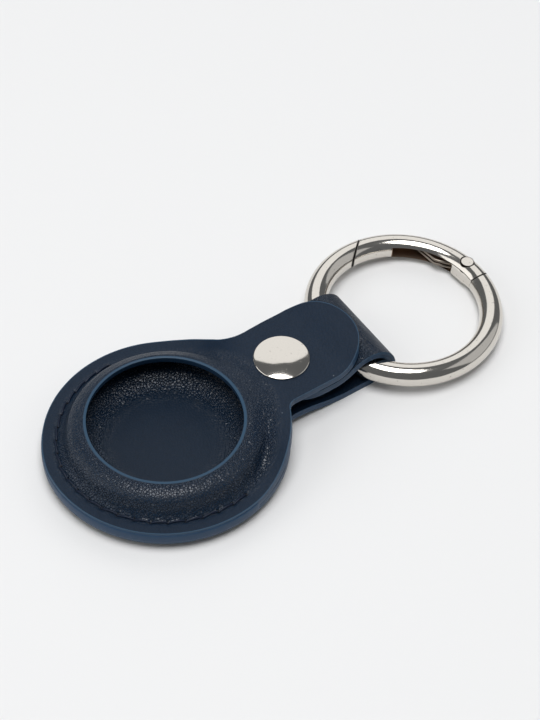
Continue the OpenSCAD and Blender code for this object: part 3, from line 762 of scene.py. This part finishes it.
def bulge_profile(leather):
    """(radius, height) from the window's edge over the broad crest, round the shoulder, down a short
    wall and out to the flange. The first step is the width of the paint's lap."""
    def bend(centre, radius, start, end, count):
        return [(centre[0] + radius * math.sin(a), centre[1] + radius * math.cos(a))
                for a in np.linspace(start, end, count)]

    crest_steps, shoulder_steps, foot_steps = 20, 8, 12
    crest_bend_r, foot_bend_r = leather.crest_bend_r, leather.foot_bend_r
    shoulder_angle, wall_angle = leather.shoulder_angle, leather.wall_angle
    first = math.asin((leather.window_r - leather.crest_r) / crest_bend_r)
    lapped = first + leather.rim_lap / crest_bend_r
    crest_centre = (leather.crest_r, leather.flange_z + leather.bulge_h - crest_bend_r)
    rim = bend(crest_centre, crest_bend_r, first, lapped, 1)
    crest = bend(crest_centre, crest_bend_r, lapped, shoulder_angle, crest_steps)
    back = crest_bend_r - leather.shoulder_r
    shoulder_centre = (crest_centre[0] + back * math.sin(shoulder_angle),
                       crest_centre[1] + back * math.cos(shoulder_angle))
    shoulder = bend(shoulder_centre, leather.shoulder_r, shoulder_angle, wall_angle, shoulder_steps)
    wall_r, wall_z = shoulder[-1]
    drop = wall_z - leather.flange_z - foot_bend_r * (1 - math.cos(wall_angle))
    foot_r = wall_r + drop / math.tan(wall_angle) + foot_bend_r * math.sin(wall_angle)
    foot = bend((foot_r, leather.flange_z + foot_bend_r), -foot_bend_r, wall_angle, 0, foot_steps)
    return rim + crest + shoulder[1:] + foot


def tab_height(leather, x, y):
    """Top of the front sheet away from the bulge. It rises later on the side of the wider fillet."""
    late_from_y, late_run = 3 * MM, 9 * MM
    x = x - leather.late_rise * smoothstep((y - late_from_y) / late_run) * (x < leather.tab_lift_x)
    first = climb(x, leather.bend_x, leather.flange_z, leather.tab_flat_x, leather.tab_z)
    second = climb(x, leather.tab_lift_x, leather.tab_z, leather.tab_top_x, leather.tip_z)
    return np.where(x < leather.tab_lift_x, first, second)


def front_height(leather, xy, bulge):
    """Top of the front: the higher of the bulge and the sheet, with a soft valley between them."""
    soft_rise = 1.2 * MM  # the valley is at its softest where the tab has risen by this much
    sheet = tab_height(leather, xy[:, 0], xy[:, 1])
    softness = leather.blend_w * smoothstep((sheet - leather.flange_z) / soft_rise)
    overlap = np.maximum(softness - np.abs(bulge - sheet), 0)
    lift = np.where(softness > TINY, overlap ** 2 / (4 * np.maximum(softness, TINY)), 0)
    return np.maximum(bulge, sheet) + lift


def front_grain(leather, points):
    """How far the grain stands out, 0 to 1: on the bulge only, and most on one side of it."""
    rim_fade, foot_fade, end_r = 0.8 * MM, 1.6 * MM, 19.2 * MM
    facing_gain = 1.3
    radius, angle = polar(points)
    formed = smoothstep((radius - leather.window_r) / rim_fade) * smoothstep((end_r - radius) / foot_fade)
    facing = (1 + np.cos(angle - leather.grain_at)) / 2
    return formed * (leather.grain_least + (1 - leather.grain_least) * smoothstep(facing * facing_gain))


class TAG_OT_front_leather(bpy.types.Operator):
    """Front panel and opening tab: one sheet of skin and lining, moulded over the tag"""

    bl_idname = "tag_holder.front_leather"
    bl_label = "Front leather"

    def execute(self, context):
        settings = context.scene.tag_holder
        leather, stitch = settings.leather, settings.stitch
        hole_dip, bend_half = 0.2 * MM, 3 * MM
        fine_share, fine_rows, coarse_rows = 0.35, 9, 6
        outline = front_outline(leather)
        rows, heights = profile_rows(outline, bulge_profile(leather))
        foot = rows[-1]
        lapped = lap_line(foot, outline, leather.paint_lap)
        shares = [*np.linspace(0, fine_share, fine_rows + 1)[1:],
                  *np.linspace(fine_share, 1, coarse_rows + 1)[1:]]
        rows += [foot + (lapped - foot) * share for share in shares] + [outline]
        heights += [np.full(len(outline), leather.flange_z)] * (len(rows) - len(heights))
        plain = np.concatenate(rows)
        xy = pull_in(leather, plain)
        hole, line, dark = seam_marks(stitch, plain)
        z = front_height(leather, xy, np.concatenate(heights)) - hole_dip * hole - stitch.groove * line
        cover = mesh_object("front_leather", np.column_stack([xy, z]),
                            grid_faces(len(rows), len(outline), closed=True))
        set_attribute(cover, "formed", front_grain(leather, plain))
        # The hole attribute carries the painted shade of the needle holes
        set_attribute(cover, "hole", dark)
        paint_strips(cover, len(outline), [0, len(rows) - 2])
        make_panel_solid(cover, leather.panel_t, leather.edge_r)
        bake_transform(cover)
        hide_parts("front_panel", "front_lining", "flap_panel", "flap_lining")
        return {"FINISHED"}


# Back leather


def dish_profile(strap):
    """(radius, height) of the back's outer face from the centre to the start of the flange."""
    first_r = 0.5 * MM
    floor_steps, bend_steps = 12, 8
    steep = math.pi / 4  # slope of the wall between the dish's two bends
    run = strap.dish_drop - (strap.heel_bend_r + strap.step_bend_r) * (1 - math.sin(steep))
    heel_r = strap.step_r - (strap.heel_bend_r + strap.step_bend_r) * math.sin(steep) - run
    floor = [(r, 0.0) for r in np.linspace(first_r, heel_r, floor_steps, endpoint=False)]
    heel = [(heel_r + strap.heel_bend_r * math.sin(a), strap.heel_bend_r * (1 - math.cos(a)))
            for a in np.linspace(0, steep, bend_steps)]
    step_z = strap.dish_drop - strap.step_bend_r
    step = [(strap.step_r - strap.step_bend_r * math.sin(a), step_z + strap.step_bend_r * math.cos(a))
            for a in np.linspace(steep, 0, bend_steps)]
    return floor + heel + step


def leg_height(strap, x):
    """Height of the strap's outer face, which sinks from the flange to the table."""
    return strap.dish_drop - climb(x, strap.leg_start_x, 0.0, strap.leg_end_x, strap.dish_drop)


class TAG_OT_back_leather(bpy.types.Operator):
    """Back panel: a moulded dish and the strap leg that runs from it under the ring"""

    bl_idname = "tag_holder.back_leather"
    bl_label = "Back leather"

    def execute(self, context):
        settings = context.scene.tag_holder
        leather, strap, stitch = settings.leather, settings.strap, settings.stitch
        hole_dip, groove_share = 0.15 * MM, 0.6
        formed_from_r, formed_fade = 8 * MM, 3 * MM
        formed_to_r, flange_fade = 18.6 * MM, 1.2 * MM
        points, faces = self.make_sheet(leather, strap)
        radius = polar(points)[0]
        formed = (smoothstep((radius - formed_from_r) / formed_fade)
                  * smoothstep((formed_to_r - radius) / flange_fade))
        hole, line, dark = seam_marks(stitch, points)
        points[:, 2] += hole_dip * hole + groove_share * stitch.groove * line
        points[:, :2] = pull_in(leather, points[:, :2])
        cover = mesh_object("back_leather", points, faces)
        set_attribute(cover, "formed", formed)
        # The hole attribute carries the painted shade of the needle holes
        set_attribute(cover, "hole", dark)
        make_panel_solid(cover, leather.panel_t, leather.edge_r)
        self.raise_lining(cover, leather, strap)
        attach(cover, "holder")
        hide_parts("back_panel", "back_lining")
        return {"FINISHED"}

    def make_sheet(self, leather, strap):
        """Points and faces of the dish and its flange, its middle point, and the strap leg."""
        past_neck = 2 * MM
        flange_rows, leg_rows, body_steps = 19, 39, 220
        shares = strap_shares(leather.paint_lap / strap.half_w)
        width = len(shares)
        cut_x = neck_centre(leather.body_r, strap.half_w, strap.neck_r)[0] + past_neck
        side = side_outline(leather.body_r, strap.half_w, strap.neck_r, cut_x, body_steps)
        end_row = [(cut_x, y) for y in shares[:-1] * strap.half_w]
        outline = np.array(end_row + side + [(-leather.body_r, 0)] + [(x, -y) for x, y in side[:0:-1]])
        rows, heights = profile_rows(outline, dish_profile(strap))
        foot = rows[-1]
        rows += [foot + (outline - foot) * share for share in np.linspace(0, 1, flange_rows + 1)[1:]]
        heights += [leg_height(strap, row[:, 0]) for row in rows[len(heights):]]
        middle = len(rows) * len(outline)
        edge, first = middle - len(outline), middle + 1
        faces = grid_faces(len(rows), len(outline), closed=True)
        faces += [(middle, j, (j + 1) % len(outline)) for j in range(len(outline))]
        faces += [(edge + j, first + j, first + j + 1, edge + j + 1) for j in range(width - 1)]
        faces += grid_faces(leg_rows, width, first=first)
        lengths = np.linspace(cut_x, strap.hidden_x, leg_rows + 1)[1:]
        leg = np.column_stack([np.repeat(lengths, width), np.tile(shares * strap.half_w, leg_rows),
                               np.repeat(leg_height(strap, lengths), width)])
        dish = np.column_stack([np.concatenate(rows), np.concatenate(heights)])
        return np.vstack([dish, [(0, 0, 0)], leg]), [f[::-1] for f in faces]

    def raise_lining(self, cover, leather, strap):
        """Lifts the lining inside the dish into a cove, as the glued lining bridges the corner."""
        end_r, under_flange, softness = 17 * MM, 0.06 * MM, 0.25 * MM
        lining_depth = 0.99
        points = vertex_array(cover)
        radius = polar(points)[0]
        out = np.clip(radius - leather.cove_start_r, 0, leather.cove_r)
        cove = leather.panel_t + leather.cove_r - np.sqrt(leather.cove_r ** 2 - out ** 2)
        ceiling = strap.dish_drop + leather.panel_t - under_flange
        cove = ceiling - softness * np.log1p(np.exp((ceiling - cove) / softness))
        inside = (attribute_values(cover, "across") > lining_depth) & (radius < end_r)
        points[inside, 2] = np.maximum(points[inside, 2], cove[inside])
        cover.data.vertices.foreach_set("co", points.ravel())
        cover.data.update()


# Sewn edge and strap end


def sweep(name, loops):
    """A closed tube through loops of points, each loop a closed ring, with flat ends."""
    count = len(loops[0])
    points = np.concatenate(loops)
    faces = grid_faces(len(loops), count, closed=True)
    faces += [tuple(range(count)), tuple(reversed(range(len(points) - count, len(points))))]
    obj = mesh_object(name, points, faces)
    turn_faces_outwards(obj)
    return obj


class TAG_OT_sewn_edge(bpy.types.Operator):
    """The edge paint that closes the two sewn edges into one rounded edge"""

    bl_idname = "tag_holder.sewn_edge"
    bl_label = "Sewn edge"

    def execute(self, context):
        settings = context.scene.tag_holder
        leather, strap, stitch = settings.leather, settings.strap, settings.stitch
        over_back, under_front = 0.3 * MM, 0.42 * MM
        bead_w, bead_roundness, root_w = 0.16 * MM, 0.8, 0.5 * MM
        past_start, past_end, taper, sink = 0.06, 0.1, 0.1, 0.45 * MM
        round_steps, along_steps = 13, 200
        # The bead sits past the corner's painted highlight, so it takes the plain paint colour
        paint_depth = 0.3  # where the paint is darker than at a corner and clear of the bond line
        low, high = strap.dish_drop + over_back, leather.flange_z - under_front
        middle, half = (low + high) / 2, (high - low) / 2
        turns = np.linspace(-math.pi / 2, math.pi / 2, round_steps)
        section = [(bead_w * math.cos(t) ** bead_roundness, middle + half * math.sin(t)) for t in turns]
        section += [(-root_w, high), (-root_w, low)]
        first, last = stitch.start - past_start, stitch.end + past_end
        loops = []
        for a in np.linspace(first, last, along_steps):
            full = smoothstep((a - first) / taper) * smoothstep((last - a) / taper)
            pulled = leather.pull * max(math.cos(a - leather.pull_at), 0)
            radius = leather.body_r - sink * (1 - full) - pulled
            loops.append([((radius + out) * math.cos(a), (radius + out) * math.sin(a), z)
                          for out, z in section])
        edge = sweep("sewn_edge", loops)
        edge.data.materials.append(material("edge"))
        set_attribute(edge, "across", np.full(len(edge.data.vertices), paint_depth))
        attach(edge, "holder")
        return {"FINISHED"}


def fold_path(strap):
    """Points of the strap's outer face in x and z, from under the ring, round the fold, to level."""
    flat_steps, bend_steps, arch_steps = 4, 12, 40
    corner_x = strap.arch_x + strap.arch_r - strap.corner_r
    path = [(x, 0.0) for x in np.linspace(strap.hidden_x, corner_x, flat_steps, endpoint=False)]
    path += [(corner_x + strap.corner_r * math.sin(a), strap.corner_r * (1 - math.cos(a)))
             for a in np.linspace(0, math.pi / 2, bend_steps, endpoint=False)]
    path += [(strap.arch_x + strap.arch_r * math.cos(a), strap.corner_r + strap.arch_r * math.sin(a))
             for a in np.linspace(0, math.pi / 2 + strap.slope, arch_steps)]
    high_x, high_z = path[-1]
    low_z = strap.tail_z + strap.dip_r * (1 - math.cos(strap.slope))
    low_x = high_x - (high_z - low_z) / math.tan(strap.slope)
    dip_x = low_x - strap.dip_r * math.sin(strap.slope)
    path += [(dip_x + strap.dip_r * math.sin(a), strap.tail_z + strap.dip_r * (1 - math.cos(a)))
             for a in np.linspace(strap.slope, 0, bend_steps)]
    return path


class TAG_OT_strap_end(bpy.types.Operator):
    """The strap's fold round the ring and the end that comes back under the tab"""

    bl_idname = "tag_holder.strap_end"
    bl_label = "Strap end"

    def execute(self, context):
        settings = context.scene.tag_holder
        leather, strap = settings.leather, settings.strap
        last_turn = math.radians(88)  # at 90 the last row would close to a point
        formed_w, formed_z, formed_fade = 5 * MM, 4 * MM, 3 * MM
        flat_rows, round_rows = 5, 21
        shares = strap_shares(leather.paint_lap / strap.half_w)
        width = len(shares)
        rows = [(x, z, strap.half_w) for x, z in fold_path(strap)]
        round_x = strap.tail_tip_x + strap.half_w
        level_x = np.linspace(rows[-1][0], round_x, flat_rows + 1)[1:]
        rows += [(x, strap.tail_z, strap.half_w) for x in level_x]
        rows += [(round_x - strap.half_w * math.sin(a), strap.tail_z, strap.half_w * math.cos(a))
                 for a in np.linspace(0, last_turn, round_rows + 1)[1:]]
        points = np.concatenate([
            np.column_stack([np.full(width, x), shares * half_w, np.full(width, z)])
            for x, z, half_w in rows])
        faces = [f[::-1] for f in grid_faces(len(rows), width)]
        cover = mesh_object("strap_end", points, faces)
        over_arch = np.exp(-((points[:, 0] - strap.arch_x) / formed_w) ** 2)
        set_attribute(cover, "formed", over_arch * smoothstep((points[:, 2] - formed_z) / formed_fade))
        set_attribute(cover, "hole", np.zeros(len(points)))
        make_panel_solid(cover, leather.panel_t, leather.edge_r)
        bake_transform(cover)
        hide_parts("strap_tail", "tail_lining")
        return {"FINISHED"}


# Stitches


STITCH_INPUTS = {
    "Count": "NodeSocketInt", "Radius": "NodeSocketFloat", "Start": "NodeSocketFloat",
    "Step": "NodeSocketFloat", "Height": "NodeSocketFloat", "Thread": "NodeSocketFloat",
    "Length": "NodeSocketFloat", "Dip": "NodeSocketFloat", "Arch": "NodeSocketFloat",
    "Slant": "NodeSocketFloat", "Pull": "NodeSocketFloat", "Pull At": "NodeSocketFloat",
    "Wobble": "NodeSocketFloat", "Seed": "NodeSocketInt", "Material": "NodeSocketMaterial",
}


def stitch_tree():
    """A row of slanted stitches round an arc, each a short piece of thread that dips at both ends."""
    tree = bpy.data.node_groups.new("Stitch row", "GeometryNodeTree")
    tree.interface.new_socket("Geometry", in_out="OUTPUT", socket_type="NodeSocketGeometry")
    for name, kind in STITCH_INPUTS.items():
        tree.interface.new_socket(name, in_out="INPUT", socket_type=kind)
    source = add(tree, "NodeGroupInput").outputs

    # Where each stitch lies: the middle between two holes, a little off the line, and pulled in
    points = add(tree, "GeometryNodePoints", {"Count": source["Count"]})
    index = add(tree, "GeometryNodeInputIndex")
    middle = add(tree, "ShaderNodeMath", {0: index, 1: 0.5}, operation="ADD")
    angle = add(tree, "ShaderNodeMath", {0: middle, 1: source["Step"], 2: source["Start"]},
                operation="MULTIPLY_ADD")
    chance = add(tree, "FunctionNodeRandomValue", {"ID": index, "Seed": source["Seed"]}, data_type="FLOAT")
    least = add(tree, "ShaderNodeMath", {0: source["Wobble"], 1: -1.0}, operation="MULTIPLY")
    spread = add(tree, "ShaderNodeMapRange", {"Value": chance, "To Min": least, "To Max": source["Wobble"]})
    off = add(tree, "ShaderNodeMath", {0: angle, 1: source["Pull At"]}, operation="SUBTRACT")
    share = add(tree, "ShaderNodeMath", {0: off}, operation="COSINE")
    held = add(tree, "ShaderNodeMath", {0: share, 1: 0.0}, operation="MAXIMUM")
    inward = add(tree, "ShaderNodeMath", {0: held, 1: source["Pull"]}, operation="MULTIPLY")
    plain = add(tree, "ShaderNodeMath", {0: source["Radius"], 1: spread}, operation="ADD")
    radius = add(tree, "ShaderNodeMath", {0: plain, 1: inward}, operation="SUBTRACT")
    cosine = add(tree, "ShaderNodeMath", {0: angle}, operation="COSINE")
    sine = add(tree, "ShaderNodeMath", {0: angle}, operation="SINE")
    x = add(tree, "ShaderNodeMath", {0: cosine, 1: radius}, operation="MULTIPLY")
    y = add(tree, "ShaderNodeMath", {0: sine, 1: radius}, operation="MULTIPLY")
    place = add(tree, "ShaderNodeCombineXYZ", {"X": x, "Y": y, "Z": source["Height"]})
    placed = add(tree, "GeometryNodeSetPosition", {"Geometry": points, "Position": place})

    # One stitch: a tube along an arched line that leans across the seam
    half = add(tree, "ShaderNodeMath", {0: source["Length"], 1: 0.5}, operation="MULTIPLY")
    back = add(tree, "ShaderNodeMath", {0: half, 1: -1.0}, operation="MULTIPLY")
    out = add(tree, "ShaderNodeMath", {0: source["Slant"], 1: -1.0}, operation="MULTIPLY")
    lift = add(tree, "ShaderNodeMath", {0: source["Dip"], 1: source["Arch"]}, operation="MULTIPLY")
    first = add(tree, "ShaderNodeCombineXYZ", {"X": source["Slant"], "Y": back, "Z": source["Dip"]})
    last = add(tree, "ShaderNodeCombineXYZ", {"X": out, "Y": half, "Z": source["Dip"]})
    crest = add(tree, "ShaderNodeCombineXYZ", {"Z": lift})
    line = add(tree, "GeometryNodeCurveQuadraticBezier", {
        "Resolution": 10, "Start": first, "Middle": crest, "End": last})
    ring = add(tree, "GeometryNodeCurvePrimitiveCircle", {"Resolution": 12, "Radius": source["Thread"]})
    tube = add(tree, "GeometryNodeCurveToMesh", {"Curve": line, "Profile Curve": ring, "Fill Caps": True})

    turned = add(tree, "ShaderNodeCombineXYZ", {"Z": angle})
    rotation = add(tree, "FunctionNodeEulerToRotation", {"Euler": turned})
    copies = add(tree, "GeometryNodeInstanceOnPoints", {
        "Points": placed, "Instance": tube, "Rotation": rotation})
    real = add(tree, "GeometryNodeRealizeInstances", {"Geometry": copies})
    smooth = add(tree, "GeometryNodeSetShadeSmooth", {"Geometry": real})
    dressed = add(tree, "GeometryNodeSetMaterial", {"Geometry": smooth, "Material": source["Material"]})
    add(tree, "NodeGroupOutput", {"Geometry": dressed})
    return tree


def set_inputs(modifier, values):
    """Sets the inputs of a Geometry Nodes modifier by the identifiers of their sockets."""
    for item in modifier.node_group.interface.items_tree:
        if item.item_type == "SOCKET" and item.in_out == "INPUT":
            modifier[item.identifier] = values[item.name]


class TAG_OT_stitches(bpy.types.Operator):
    """The stitches on the front and those on the back"""

    bl_idname = "tag_holder.stitches"
    bl_label = "Stitches"

    def execute(self, context):
        settings = context.scene.tag_holder
        stitch, leather, strap = settings.stitch, settings.leather, settings.strap
        proud, top_dip, bobbin_dip = 0.14 * MM, 0.24 * MM, 0.22 * MM
        length_share = 0.94  # of the way from hole to hole
        arch_share = -1.15  # the middle of a stitch is drawn up by more than its ends dip
        tree = stitch_tree()
        values = {"Count": stitch.count, "Radius": stitch.seam_r, "Start": stitch.start,
                  "Step": stitch_step(stitch), "Thread": stitch.thread_r,
                  "Length": stitch_step(stitch) * stitch.seam_r * length_share, "Arch": arch_share,
                  "Slant": stitch.slant, "Pull": leather.pull, "Pull At": leather.pull_at,
                  "Wobble": 0.05 * MM, "Seed": 7, "Material": material("thread")}
        rows = [("top_stitches", "top_thread", leather.flange_z + proud, -top_dip),
                ("bobbin_stitches", "bobbin_thread", strap.dish_drop, bobbin_dip)]
        for name, node, height, dip in rows:
            run = mesh_object(name, [], [])
            modifier = run.modifiers.new("Stitch row", "NODES")
            modifier.node_group = tree
            set_inputs(modifier, {**values, "Height": height, "Dip": dip})
            bake_modifiers(run)
            if not run.data.vertices:
                raise RuntimeError("the stitch row made nothing")
            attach(run, "holder")
            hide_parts(node)
        return {"FINISHED"}


# Metal


def lathe(name, profile, steps, centre):
    """A closed shape turned about Z through centre, from (radius, height) points that start and end
    on the axis."""
    points = [(centre[0], centre[1], centre[2] + profile[0][1])]
    for r, z in profile[1:-1]:
        points += [(centre[0] + r * math.cos(a), centre[1] + r * math.sin(a), centre[2] + z)
                   for a in np.linspace(0, 2 * math.pi, steps, endpoint=False)]
    points.append((centre[0], centre[1], centre[2] + profile[-1][1]))
    rings = len(profile) - 2
    faces = [(0, 1 + (j + 1) % steps, 1 + j) for j in range(steps)]
    faces += [f[::-1] for f in grid_faces(rings, steps, first=1, closed=True)]
    last = len(points) - 1
    base = last - steps
    faces += [(last, base + j, base + (j + 1) % steps) for j in range(steps)]
    obj = mesh_object(name, points, faces)
    turn_faces_outwards(obj)
    return obj


class TAG_OT_snap(bpy.types.Operator):
    """The snap's domed cap with its turned-down rim"""

    bl_idname = "tag_holder.snap"
    bl_label = "Snap cap"

    def execute(self, context):
        settings = context.scene.tag_holder
        leather, snap = settings.leather, settings.snap
        hollow, foot_w, foot_h = 0.02 * MM, 0.1 * MM, 0.06 * MM
        rim_steps, dome_steps, turn_steps = 10, 31, 128
        lean = math.atan(2 * snap.dome_h / snap.cap_r)
        bend = snap.rim_t
        flat_r = snap.cap_r - bend * (1 - math.sin(lean))
        edge_z = snap.cap_h - snap.dome_h
        profile = [(0, hollow), (snap.cap_r - foot_w, 0.0), (snap.cap_r, foot_h)]
        profile += [(snap.cap_r - bend + bend * math.cos(a), edge_z - bend * (math.cos(lean) - math.sin(a)))
                    for a in np.linspace(0, math.pi / 2 - lean, rim_steps)]
        profile += [(flat_r * t, edge_z + snap.dome_h * (1 - t * t))
                    for t in np.linspace(1, 0, dome_steps + 1)[1:]]
        cap = lathe("snap_dome", profile, turn_steps, (snap.centre_x, 0, leather.tab_z))
        cap.data.materials.append(material("nickel"))
        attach(cap, "flap")
        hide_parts("snap_cap")
        return {"FINISHED"}


def bent_wire(corners, bend, wire_r, normal):
    """Loops of points round a wire that runs straight from corner to corner and bends at each one."""
    sides, bend_steps = 12, 8
    path = [corners[0]]
    for before, corner, after in zip(corners, corners[1:], corners[2:]):
        start = corner + (before - corner).normalized() * bend
        end = corner + (after - corner).normalized() * bend
        path += [start * (1 - t) ** 2 + corner * 2 * t * (1 - t) + end * t ** 2
                 for t in np.linspace(0, 1, bend_steps)]
    path.append(corners[-1])
    loops = []
    for i, point in enumerate(path):
        along = (path[min(i + 1, len(path) - 1)] - path[max(i - 1, 0)]).normalized()
        normal = (normal - along * normal.dot(along)).normalized()
        across = along.cross(normal)
        loops.append([tuple(point + (normal * math.cos(a) + across * math.sin(a)) * wire_r)
                      for a in np.linspace(0, 2 * math.pi, sides, endpoint=False)])
    return loops


class TAG_OT_gate_spring(bpy.types.Operator):
    """Bent wire in the gate's channel that presses the gate shut and gives way as it opens"""

    bl_idname = "tag_holder.gate_spring"
    bl_label = "Gate spring"

    def execute(self, context):
        ring = context.scene.tag_holder.ring
        centre, out, side, normal = ring_axes()

        def place(radius, angle, height):
            return centre + (out * math.cos(angle) + side * math.sin(angle)) * radius + normal * height

        bends = [(ring.root_r, ring.root_angle), (ring.knee_r, ring.knee_angle),
                 (ring.nose_r, ring.nose_angle)]
        corners = [place(radius, angle, -ring.strand_z) for radius, angle in bends]
        corners += [place(radius, angle, ring.strand_z) for radius, angle in reversed(bends)]
        wire = sweep("bent_spring", bent_wire(corners, ring.spring_bend, ring.spring_r, normal))
        wire.data.materials.append(material("steel"))
        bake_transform(wire)
        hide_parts("gate_spring")
        return {"FINISHED"}


class TAG_OT_metal(bpy.types.Operator):
    """Finishes of the ring, the gate, the pin and the hidden snap parts"""

    bl_idname = "tag_holder.metal"
    bl_label = "Ring and fittings"

    def execute(self, context):
        finishes = {"nickel": ["cap_post", "snap_socket", "snap_stud", "stud_post"],
                    "ring": ["ring_body", "ring_gate", "gate_pin"],
                    "steel": ["socket_spring"]}
        for key, nodes in finishes.items():
            for name in nodes:
                node = frame["nodes"][name]
                node.data.materials.clear()
                node.data.materials.append(material(key))
        return {"FINISHED"}


# Stage


# Each lamp's name, place in metres, shape, width in metres and power in watts. The flat leather
# and the cap mirror the back panel towards the camera, and the bulge's crest mirrors the softbox.
LAMPS = (
    ("overhead_softbox", (-0.055, -0.08, 0.95), "DISK", 0.66, 7.2),
    ("back_panel_light", (0.526, 0.795, 0.723), "DISK", 1.13, 3.0),
    ("left_panel_light", (-0.85, 0.35, 0.5), "SQUARE", 0.9, 3.2),
    ("right_panel_light", (0.85, -0.45, 0.55), "SQUARE", 1.0, 1.4),
)


class TAG_OT_stage(bpy.types.Operator):
    """Pale floor, soft light and the camera"""

    bl_idname = "tag_holder.stage"
    bl_label = "Stage"

    def execute(self, context):
        settings = context.scene.tag_holder
        self.make_camera(context.scene, settings.stage)
        self.make_floor(settings.finish)
        self.make_light(context.scene, settings)
        context.scene.view_settings.view_transform = "Standard"
        return {"FINISHED"}

    def make_camera(self, scene, stage):
        """A camera that looks past the body centre, so that this falls where it does in the photo."""
        width, height = 540, 720
        data = bpy.data.cameras.new("Camera")
        data.sensor_width = 36
        data.lens = stage.focal_px / height * data.sensor_width
        data.clip_start, data.clip_end = 0.01, 10
        back = Vector((math.sin(stage.azimuth) * math.cos(stage.elevation),
                       -math.cos(stage.azimuth) * math.cos(stage.elevation), math.sin(stage.elevation)))
        right = Vector((math.cos(stage.azimuth), math.sin(stage.azimuth), 0))
        up = back.cross(right)
        across = right * math.cos(stage.roll) + up * math.sin(stage.roll)
        upward = up * math.cos(stage.roll) - right * math.sin(stage.roll)
        camera = bpy.data.objects.new("Camera", data)
        camera.matrix_world = Matrix((across, upward, back)).transposed().to_4x4()
        camera.location = (back * stage.distance
                           - across * ((stage.centre_px[0] - width / 2) / stage.focal_px * stage.distance)
                           + upward * ((stage.centre_px[1] - height / 2) / stage.focal_px * stage.distance))
        scene.collection.objects.link(camera)
        scene.camera = camera

    def make_floor(self, finish):
        """A sheet of matt paper, a hair below the object so that the two don't flicker."""
        half, gap = 1.5, 0.02 * MM
        corners = [(-half, -half, 0), (half, -half, 0), (half, half, 0), (-half, half, 0)]
        floor = mesh_object("floor", corners, [(0, 1, 2, 3)])
        paper, tree = new_material("Pale paper sweep")
        shader = add(tree, "ShaderNodeBsdfDiffuse", {"Color": linear(finish.floor)})
        add(tree, "ShaderNodeOutputMaterial", {"Surface": shader})
        floor.data.materials.append(paper)
        floor.location.z = -gap

    def make_light(self, scene, settings):
        """Four soft panels that face the object, in a faint light from all sides."""
        world = bpy.data.worlds.new("Studio")
        scene.world = world
        world.use_nodes = True
        world.node_tree.nodes.clear()
        sky = add(world.node_tree, "ShaderNodeBackground", {
            "Color": linear(settings.finish.sky), "Strength": settings.stage.sky_strength})
        add(world.node_tree, "ShaderNodeOutputWorld", {"Surface": sky})
        aim = Vector((15 * MM, 0, 0))
        for name, place, shape, size, power in LAMPS:
            data = bpy.data.lights.new(name, "AREA")
            data.shape = shape
            data.size = size
            data.energy = power
            lamp = bpy.data.objects.new(name, data)
            lamp.location = place
            lamp.rotation_mode = "QUATERNION"
            lamp.rotation_quaternion = (Vector(place) - aim).to_track_quat("Z", "Y")
            scene.collection.objects.link(lamp)


class TAG_PT_panel(bpy.types.Panel):
    """Lists the steps that build the tag holder"""

    bl_idname = "TAG_PT_panel"
    bl_label = "Tag holder"
    bl_space_type = "VIEW_3D"
    bl_region_type = "UI"
    bl_category = "Tag holder"

    def draw(self, context):
        for step in STEPS:
            self.layout.operator(step.bl_idname)


STEPS = (TAG_OT_front_leather, TAG_OT_back_leather, TAG_OT_sewn_edge, TAG_OT_strap_end, TAG_OT_stitches,
         TAG_OT_snap, TAG_OT_gate_spring, TAG_OT_metal, TAG_OT_stage)
CLASSES = (*SETTINGS.values(), TagHolderSettings, *STEPS, TAG_PT_panel)


def register():
    """Registers the classes and hangs the settings on the scene."""
    for cls in CLASSES:
        bpy.utils.register_class(cls)
    bpy.types.Scene.tag_holder = PointerProperty(type=TagHolderSettings)


def unregister():
    """Takes away what register added."""
    del bpy.types.Scene.tag_holder
    for cls in reversed(CLASSES):
        bpy.utils.unregister_class(cls)


def main():
    """Builds every piece and the stage."""
    register()
    for step in STEPS:
        group, name = step.bl_idname.split(".")
        getattr(getattr(bpy.ops, group), name)()


if __name__ == "__main__":
    main()
